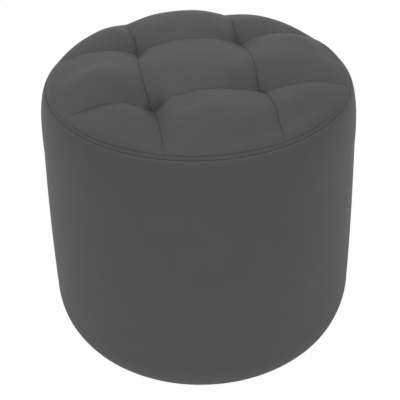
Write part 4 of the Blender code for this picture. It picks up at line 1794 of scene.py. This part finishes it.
@dataclass
class Padding:
    """The seat's foam block and the foam sheet round the drum."""

    form: TopForm
    wall: SideWall
    points: int = 37
    panel_gap: float = 0.0017
    slot_depth: float = 0.0062
    slot_width: float = 0.0040
    rim_inset: float = 0.0016
    rim_drop: float = 0.0012
    band_gap: float = 0.0004
    wall_gap: float = 0.0007
    wall_drop: float = 0.009
    tie_bore: float = 0.0016
    bore_start: float = 0.01
    bore_end: float = 0.004
    sheet_gap: float = 0.0005
    drum_depth: float = 0.0198
    drum_gap: float = 0.0003
    thinnest: float = 0.0025

    def build(self) -> None:
        """Make both foams."""
        self.build_seat()
        self.build_side()

    def build_seat(self) -> None:
        """Make the block: under the panels, drawn down along their seams, and flat on the seat board."""
        form, rim, low = self.form, self.form.rim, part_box("seat_foam")[0].z
        points: list[Array] = []
        faces: list[tuple[int, ...]] = []
        for number, patch in enumerate(patches()):
            u, v = patch.grid(form, self.points, 0.0)
            grid = form.place(u, v, rolled=False)
            slot = self.slot_depth * np.exp(-((np.minimum(*form.from_seams(u, v)) / self.slot_width) ** 2))
            grid = grid - grid_normals(grid, UP) * self.panel_gap - slot[..., None] * UP
            at_rim = np.hypot(u, v) > form.edge_radius - 1e-6
            inset = np.where(at_rim, (form.edge_radius - self.rim_inset) / np.hypot(grid[..., 0], grid[..., 1]), 1.0)
            grid[..., :2] *= inset[..., None]
            grid[..., 2] = np.where(at_rim, form.edge_height - self.rim_drop, grid[..., 2])
            points.append(grid.reshape(-1, 3))
            faces += grid_faces(self.points, self.points, number * self.points**2)
        mesh = mesh_of("seat_foam_block", np.concatenate(points), faces)
        bm = bmesh.new()
        bm.from_mesh(mesh)
        bmesh.ops.remove_doubles(bm, verts=bm.verts, dist=0.00002)
        rings = [rim.behind(rim.radius, rim.height, rim.thickness / 2 + self.band_gap)]
        heights = np.linspace(rim.height - self.wall_drop, low, 18)
        rings += [(self.wall.within(h, self.wall_gap), float(h)) for h in heights]
        edges = [edge for edge in bm.edges if edge.is_boundary]
        for radius, height in rings:
            made = bmesh.ops.extrude_edge_only(bm, edges=edges)["geom"]
            for vert in [item for item in made if isinstance(item, bmesh.types.BMVert)]:
                vert.co = (*(vert.co.xy.normalized() * radius), height)
            edges = [item for item in made if isinstance(item, bmesh.types.BMEdge)]
        bmesh.ops.holes_fill(bm, edges=edges)
        bm.to_mesh(mesh)
        bm.free()
        piece = mesh_piece("seat_foam_block", mesh, FOAM, 60.0)
        bored(piece, self.tie_bore, [
            (Vector((*middle(f"tuft_tie_{index}"), low - self.bore_start)), tuft + Vector(UP) * self.bore_end)
            for index, tuft in tie_ends(form)
        ])
        settle(piece, FOAM, "seat_foam")

    def build_side(self) -> None:
        """Make the foam sheet between the drum and the side band."""
        low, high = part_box("side_foam")
        bottom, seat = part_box("base_board")[0].z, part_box("seat_board")[1].z
        lowest = self.wall.base_radius - self.drum_depth
        highest = float(self.wall.radius(seat)) - self.drum_depth

        def inner(height: float) -> float:
            """Radius just outside the drum wall, and always inside the band."""
            drum = lowest + (highest - lowest) * ((height - bottom) / (seat - bottom)) + self.drum_gap
            return min(drum, self.wall.within(height, self.thinnest))

        outline = [(self.wall.within(h, self.sheet_gap), float(h)) for h in np.linspace(low.z, high.z, 60)]
        outline += [(inner(float(h)), float(h)) for h in np.linspace(high.z, low.z, 30)]
        piece = mesh_piece("side_foam_sheet", mesh_of("side_foam_sheet", *lathe(outline, 160)), FOAM, 50.0)
        settle(piece, FOAM, "side_foam")


def middle(node: str) -> Spot:
    """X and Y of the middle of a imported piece."""
    low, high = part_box(node)
    return (low.x + high.x) / 2, (low.y + high.y) / 2


def tie_ends(form: TopForm) -> Iterator[tuple[int, Vector]]:
    """Each tie's number and the point of the tuft that it holds.

    Args:
        form: The top.

    Yields:
        Number and point.
    """
    for index in range(1, 5):
        u, v = (math.copysign(form.offset, value) for value in middle(f"tuft_tie_{index}"))
        yield index, Vector(form.place(np.array(u), np.array(v)).tolist())


@dataclass
class DrumFrame:
    """The boards, posts, drum wall, screws and tuft ties inside."""

    form: TopForm
    screw: Screw = Screw(core=0.0013, crest=0.0019, pitch=0.0018, head_depth=0.0026, taper=0.35)
    knot_height: float = 0.0056
    tuft_gap: float = 0.0045

    def build(self) -> None:
        """Dress the wooden parts and make the screws and ties."""
        self.dress()
        for board, down in (("base", False), ("seat", True)):
            for index in range(1, 7):
                self.screw.drive(f"frame_screw_{board}_{index}", f"{board}_screw_{index}", 0.4 * index, down)
        self.build_ties()

    def dress(self) -> None:
        """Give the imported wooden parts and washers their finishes."""
        wear = {"seat_board": PLYWOOD, "base_board": PLYWOOD, "drum_wall": HARDBOARD}
        wear |= {f"post_{index}": PINE for index in range(1, 7)}
        wear |= {f"tie_washer_{index}": WASHER_PLASTIC for index in range(1, 5)}
        for name, finish in wear.items():
            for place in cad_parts[name].material_slots:
                place.material = material_of(finish)
            log.info("%-28s in %s", name, finish.name)

    def build_ties(self) -> None:
        """Make the four ties of twine, from their knots up to the tufts."""
        growth = tie_growth()
        for index, tuft in tie_ends(self.form):
            node = f"tuft_tie_{index}"
            foot = Vector((*middle(node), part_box(node)[0].z + self.knot_height))
            run = tuft - Vector(UP) * self.tuft_gap - foot
            sizes = {
                "Ply": 0.00045, "Lay": 0.00050, "Pitch": 0.0060, "Length": run.length, "Knot": 0.0028,
                "Place": tuple(foot), "Turn": tuple(run.to_track_quat("Z", "Y").to_euler()),
            }
            settle(growth.grow(f"twine_tie_{index}", sizes), TWINE, node)


@dataclass
class Underside:
    """The cloth that closes the underside, its staples, and the feet with their screws."""

    screw: Screw = Screw(core=0.0012, crest=0.0018, pitch=0.0016, head_depth=0.0022, taper=0.97)
    staple_count: int = 54
    staple_ring: float = 0.1675
    sag: float = 0.0009
    pull: float = 0.00011
    slack: float = 0.0010
    screw_bore: float = 0.0022
    sole_radius: float = 0.0135
    sole_bevel: float = 0.0025
    recess_radius: float = 0.0052
    recess_depth: float = 0.0034
    foot_rounding: float = 0.0007

    def build(self) -> None:
        """Make all of it."""
        self.build_cloth()
        self.build_staples()
        for index in range(1, 5):
            self.build_foot(index)
            self.screw.drive(f"glide_screw_{index}", f"foot_screw_{index}", 0.7 * index)

    def build_cloth(self) -> None:
        """Make the cloth, a little slack between its staples and towards the middle."""
        low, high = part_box("dust_cover")
        rings = [float(r) for r in np.linspace(0.0, high.x, 46)]
        points, faces = lathe([(r, low.z) for r in rings] + [(r, high.z) for r in reversed(rings)], 216)
        radius, angle = np.hypot(points[:, 0], points[:, 1]), np.arctan2(points[:, 1], points[:, 0])
        share = np.clip(radius / high.x, 0.0, 1.0)
        sag = self.sag * (1 - share**2) ** 1.5
        pulls = self.pull * np.sin(self.staple_count * angle) * np.clip((share - 0.80) / 0.2, 0.0, 1.0)
        slack = self.slack * np.sin(7 * angle + 40 * radius) * share * (1 - share)
        points[:, 2] += np.minimum(-sag + pulls + slack - 0.0001, 0.0)
        mesh = mesh_of("underside_cloth", points, faces)
        piece = mesh_piece("underside_cloth", mesh, DUST_CLOTH, 50.0, weld=0.0000001)
        feet = [middle(f"foot_{index}") for index in range(1, 5)]
        bored(piece, self.screw_bore,
              [(Vector((*foot, low.z - 0.004)), Vector((*foot, high.z + 0.004))) for foot in feet])
        settle(piece, DUST_CLOTH, "dust_cover")

    def build_staples(self) -> None:
        """Make the ring of staples."""
        low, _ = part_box("dust_cover")
        sizes = {
            "Ring radius": self.staple_ring, "Height": low.z - 0.0004, "Count": self.staple_count,
            "Crown": 0.0098, "Leg": 0.0060, "Wire": 0.0005,
        }
        settle(staple_growth().grow("cloth_staples", sizes, crease=30.0), STEEL)

    def build_foot(self, index: int) -> None:
        """Make one foot, hollowed for its screw's head.

        Args:
            index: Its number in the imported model.
        """
        low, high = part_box(f"foot_{index}")
        top, wide = high.z, (high.x - low.x) / 2
        sole, bore, floor = self.sole_radius, self.screw_bore, self.recess_depth
        outline = [
            (self.recess_radius, 0.0), (sole, 0.0), (wide, self.sole_bevel), (wide, top),
            (bore, top), (bore, floor), (self.recess_radius, floor),
        ]
        points, faces = lathe(rounded(outline, self.foot_rounding), 72)
        points[:, :2] += middle(f"foot_{index}")
        name = f"glide_foot_{index}"
        piece = mesh_piece(name, mesh_of(name, points, faces), FOOT_PLASTIC, 35.0)
        settle(piece, FOOT_PLASTIC, f"foot_{index}")


def heading(azimuth: float, elevation: float = 0.0) -> Point:
    """The direction of an azimuth and an elevation in degrees."""
    turn, rise = math.radians(azimuth), math.radians(elevation)
    return math.cos(rise) * math.cos(turn), math.cos(rise) * math.sin(turn), math.sin(rise)


@dataclass(frozen=True)
class Lobe:
    """A soft patch of light in the room, round a direction."""

    azimuth: float
    elevation: float
    strength: float
    power: float = 6.0

    def light(self, x: Term, y: Term, z: Term) -> Term:
        """Its brightness towards the room's direction x, y, z."""
        to_x, to_y, to_z = heading(self.azimuth, self.elevation)
        return (x * to_x + y * to_y + z * to_z).at_least(0.0) ** self.power * self.strength


@dataclass(frozen=True)
class Studio:
    """A white sweep of floor, soft light from a pale room, and the camera."""

    eye: Point = (-0.15070615, -0.88538862, 0.82012402)
    looking: Point = (0.13513457, 0.79806712, -0.58722016)
    rightwards: Point = (0.98338361, -0.18053661, -0.01905793)
    lens: float = 73.67
    floor_size: float = 6.0
    floor_colour: Colour = (0.80, 0.80, 0.80)
    floor_white: float = 0.975
    floor_glow: float = 0.17
    glow_azimuth: float = -99.6106
    even: float = 0.266
    mirrored: float = 0.18
    lobes: tuple[Lobe, ...] = (
        Lobe(80.39, 90.0, 0.32),
        Lobe(80.39, 38.0, 0.56),
        Lobe(-9.61, 38.0, 0.53),
        Lobe(-42.0, 30.0, 0.32, 24.0),
        Lobe(-99.61, 38.0, 0.75),
        Lobe(-99.61, 65.0, 0.49, 12.0),
        Lobe(170.39, 38.0, 0.72),
        Lobe(170.39, 65.0, 0.10, 12.0),
    )

    def build(self) -> None:
        """Make the camera, the floor and the world."""
        self.build_camera()
        self.build_floor()
        self.build_world()

    def build_camera(self) -> None:
        """Put the camera where the photograph was taken from."""
        data = bpy.data.cameras.new("camera")
        data.lens, data.sensor_width = self.lens, 36.0
        camera = bpy.data.objects.new("camera", data)
        back, right = -Vector(self.looking), Vector(self.rightwards)
        turn = Matrix((right, back.cross(right), back)).transposed().to_4x4()
        camera.matrix_world = Matrix.Translation(self.eye) @ turn
        bpy.context.scene.collection.objects.link(camera)
        bpy.context.scene.camera = camera

    def build_floor(self) -> None:
        """Make the floor: white to the camera but for the pouf's shade on it, and open from below."""
        half = self.floor_size / 2
        corners = np.array([(-half, -half, 0.0), (half, -half, 0.0), (half, half, 0.0), (-half, half, 0.0)])
        floor = in_scene("studio_floor", mesh_of("studio_floor", corners, [(0, 1, 2, 3)]))
        material = bpy.data.materials.new("studio_floor")
        material.use_nodes = True
        graph = Graph(material.node_tree)
        graph.tree.nodes.clear()
        seen = Term(graph, graph.add("ShaderNodeLightPath").outputs["Is Camera Ray"])
        x, y, _ = graph.split(graph.add("ShaderNodeTexCoord").outputs["Object"])
        glow_x, glow_y, _ = heading(self.glow_azimuth)
        facing = ((x * glow_x + y * glow_y) / ((x * x + y * y) ** 0.5 + 0.001)).at_least(0.0) ** 2.0
        plain = graph.add("ShaderNodeBsdfDiffuse", feeds={"Color": (*self.floor_colour, 1.0)})
        bounce = graph.add("ShaderNodeEmission", feeds={"Strength": facing * self.floor_glow})
        lit = graph.add("ShaderNodeAddShader", feeds={0: plain.outputs[0], 1: bounce.outputs[0]})
        white = graph.add("ShaderNodeEmission", feeds={"Color": WHITE, "Strength": 1.0})
        feeds = {0: seen * self.floor_white, 1: lit.outputs[0], 2: white.outputs[0]}
        shown = graph.add("ShaderNodeMixShader", feeds=feeds)
        below = graph.add("ShaderNodeNewGeometry").outputs["Backfacing"]
        clear = graph.add("ShaderNodeBsdfTransparent")
        both = graph.add("ShaderNodeMixShader", feeds={0: below, 1: shown.outputs[0], 2: clear.outputs[0]})
        graph.add("ShaderNodeOutputMaterial", feeds={"Surface": both.outputs[0]})
        floor.data.materials.append(material)

    def build_world(self) -> None:
        """Light the room from all round, white where the camera sees it."""
        world = bpy.data.worlds.new("studio")
        bpy.context.scene.world = world
        world.use_nodes = True
        graph = Graph(world.node_tree)
        graph.tree.nodes.clear()
        place = graph.split(graph.add("ShaderNodeTexCoord").outputs["Generated"])
        light: Term | float = self.even
        for lobe in self.lobes:
            light = light + lobe.light(*place)
        room = graph.add("ShaderNodeBackground", feeds={"Color": WHITE, "Strength": light})
        white = graph.add("ShaderNodeBackground", feeds={"Color": WHITE, "Strength": 1.0})
        rays = graph.add("ShaderNodeLightPath").outputs
        seen = Term(graph, rays["Is Camera Ray"]) + Term(graph, rays["Is Transmission Ray"])
        seen = seen + Term(graph, rays["Is Glossy Ray"]) * self.mirrored
        both = graph.add("ShaderNodeMixShader", feeds={0: seen, 1: room.outputs[0], 2: white.outputs[0]})
        graph.add("ShaderNodeOutputWorld", feeds={"Surface": both.outputs[0]})


def main() -> None:
    """Build the studio and the pouf, one sub-assembly after the other."""
    logging.basicConfig(level=logging.INFO, format="%(message)s")
    bpy.context.scene.view_settings.view_transform = "Standard"
    form = TopForm()
    wall = SideWall()
    for part in (Studio(), TuftedTop(form), wall, Padding(form, wall), DrumFrame(form), Underside()):
        log.info("%s", type(part).__name__)
        part.build()


if __name__ == "__main__":
    main()
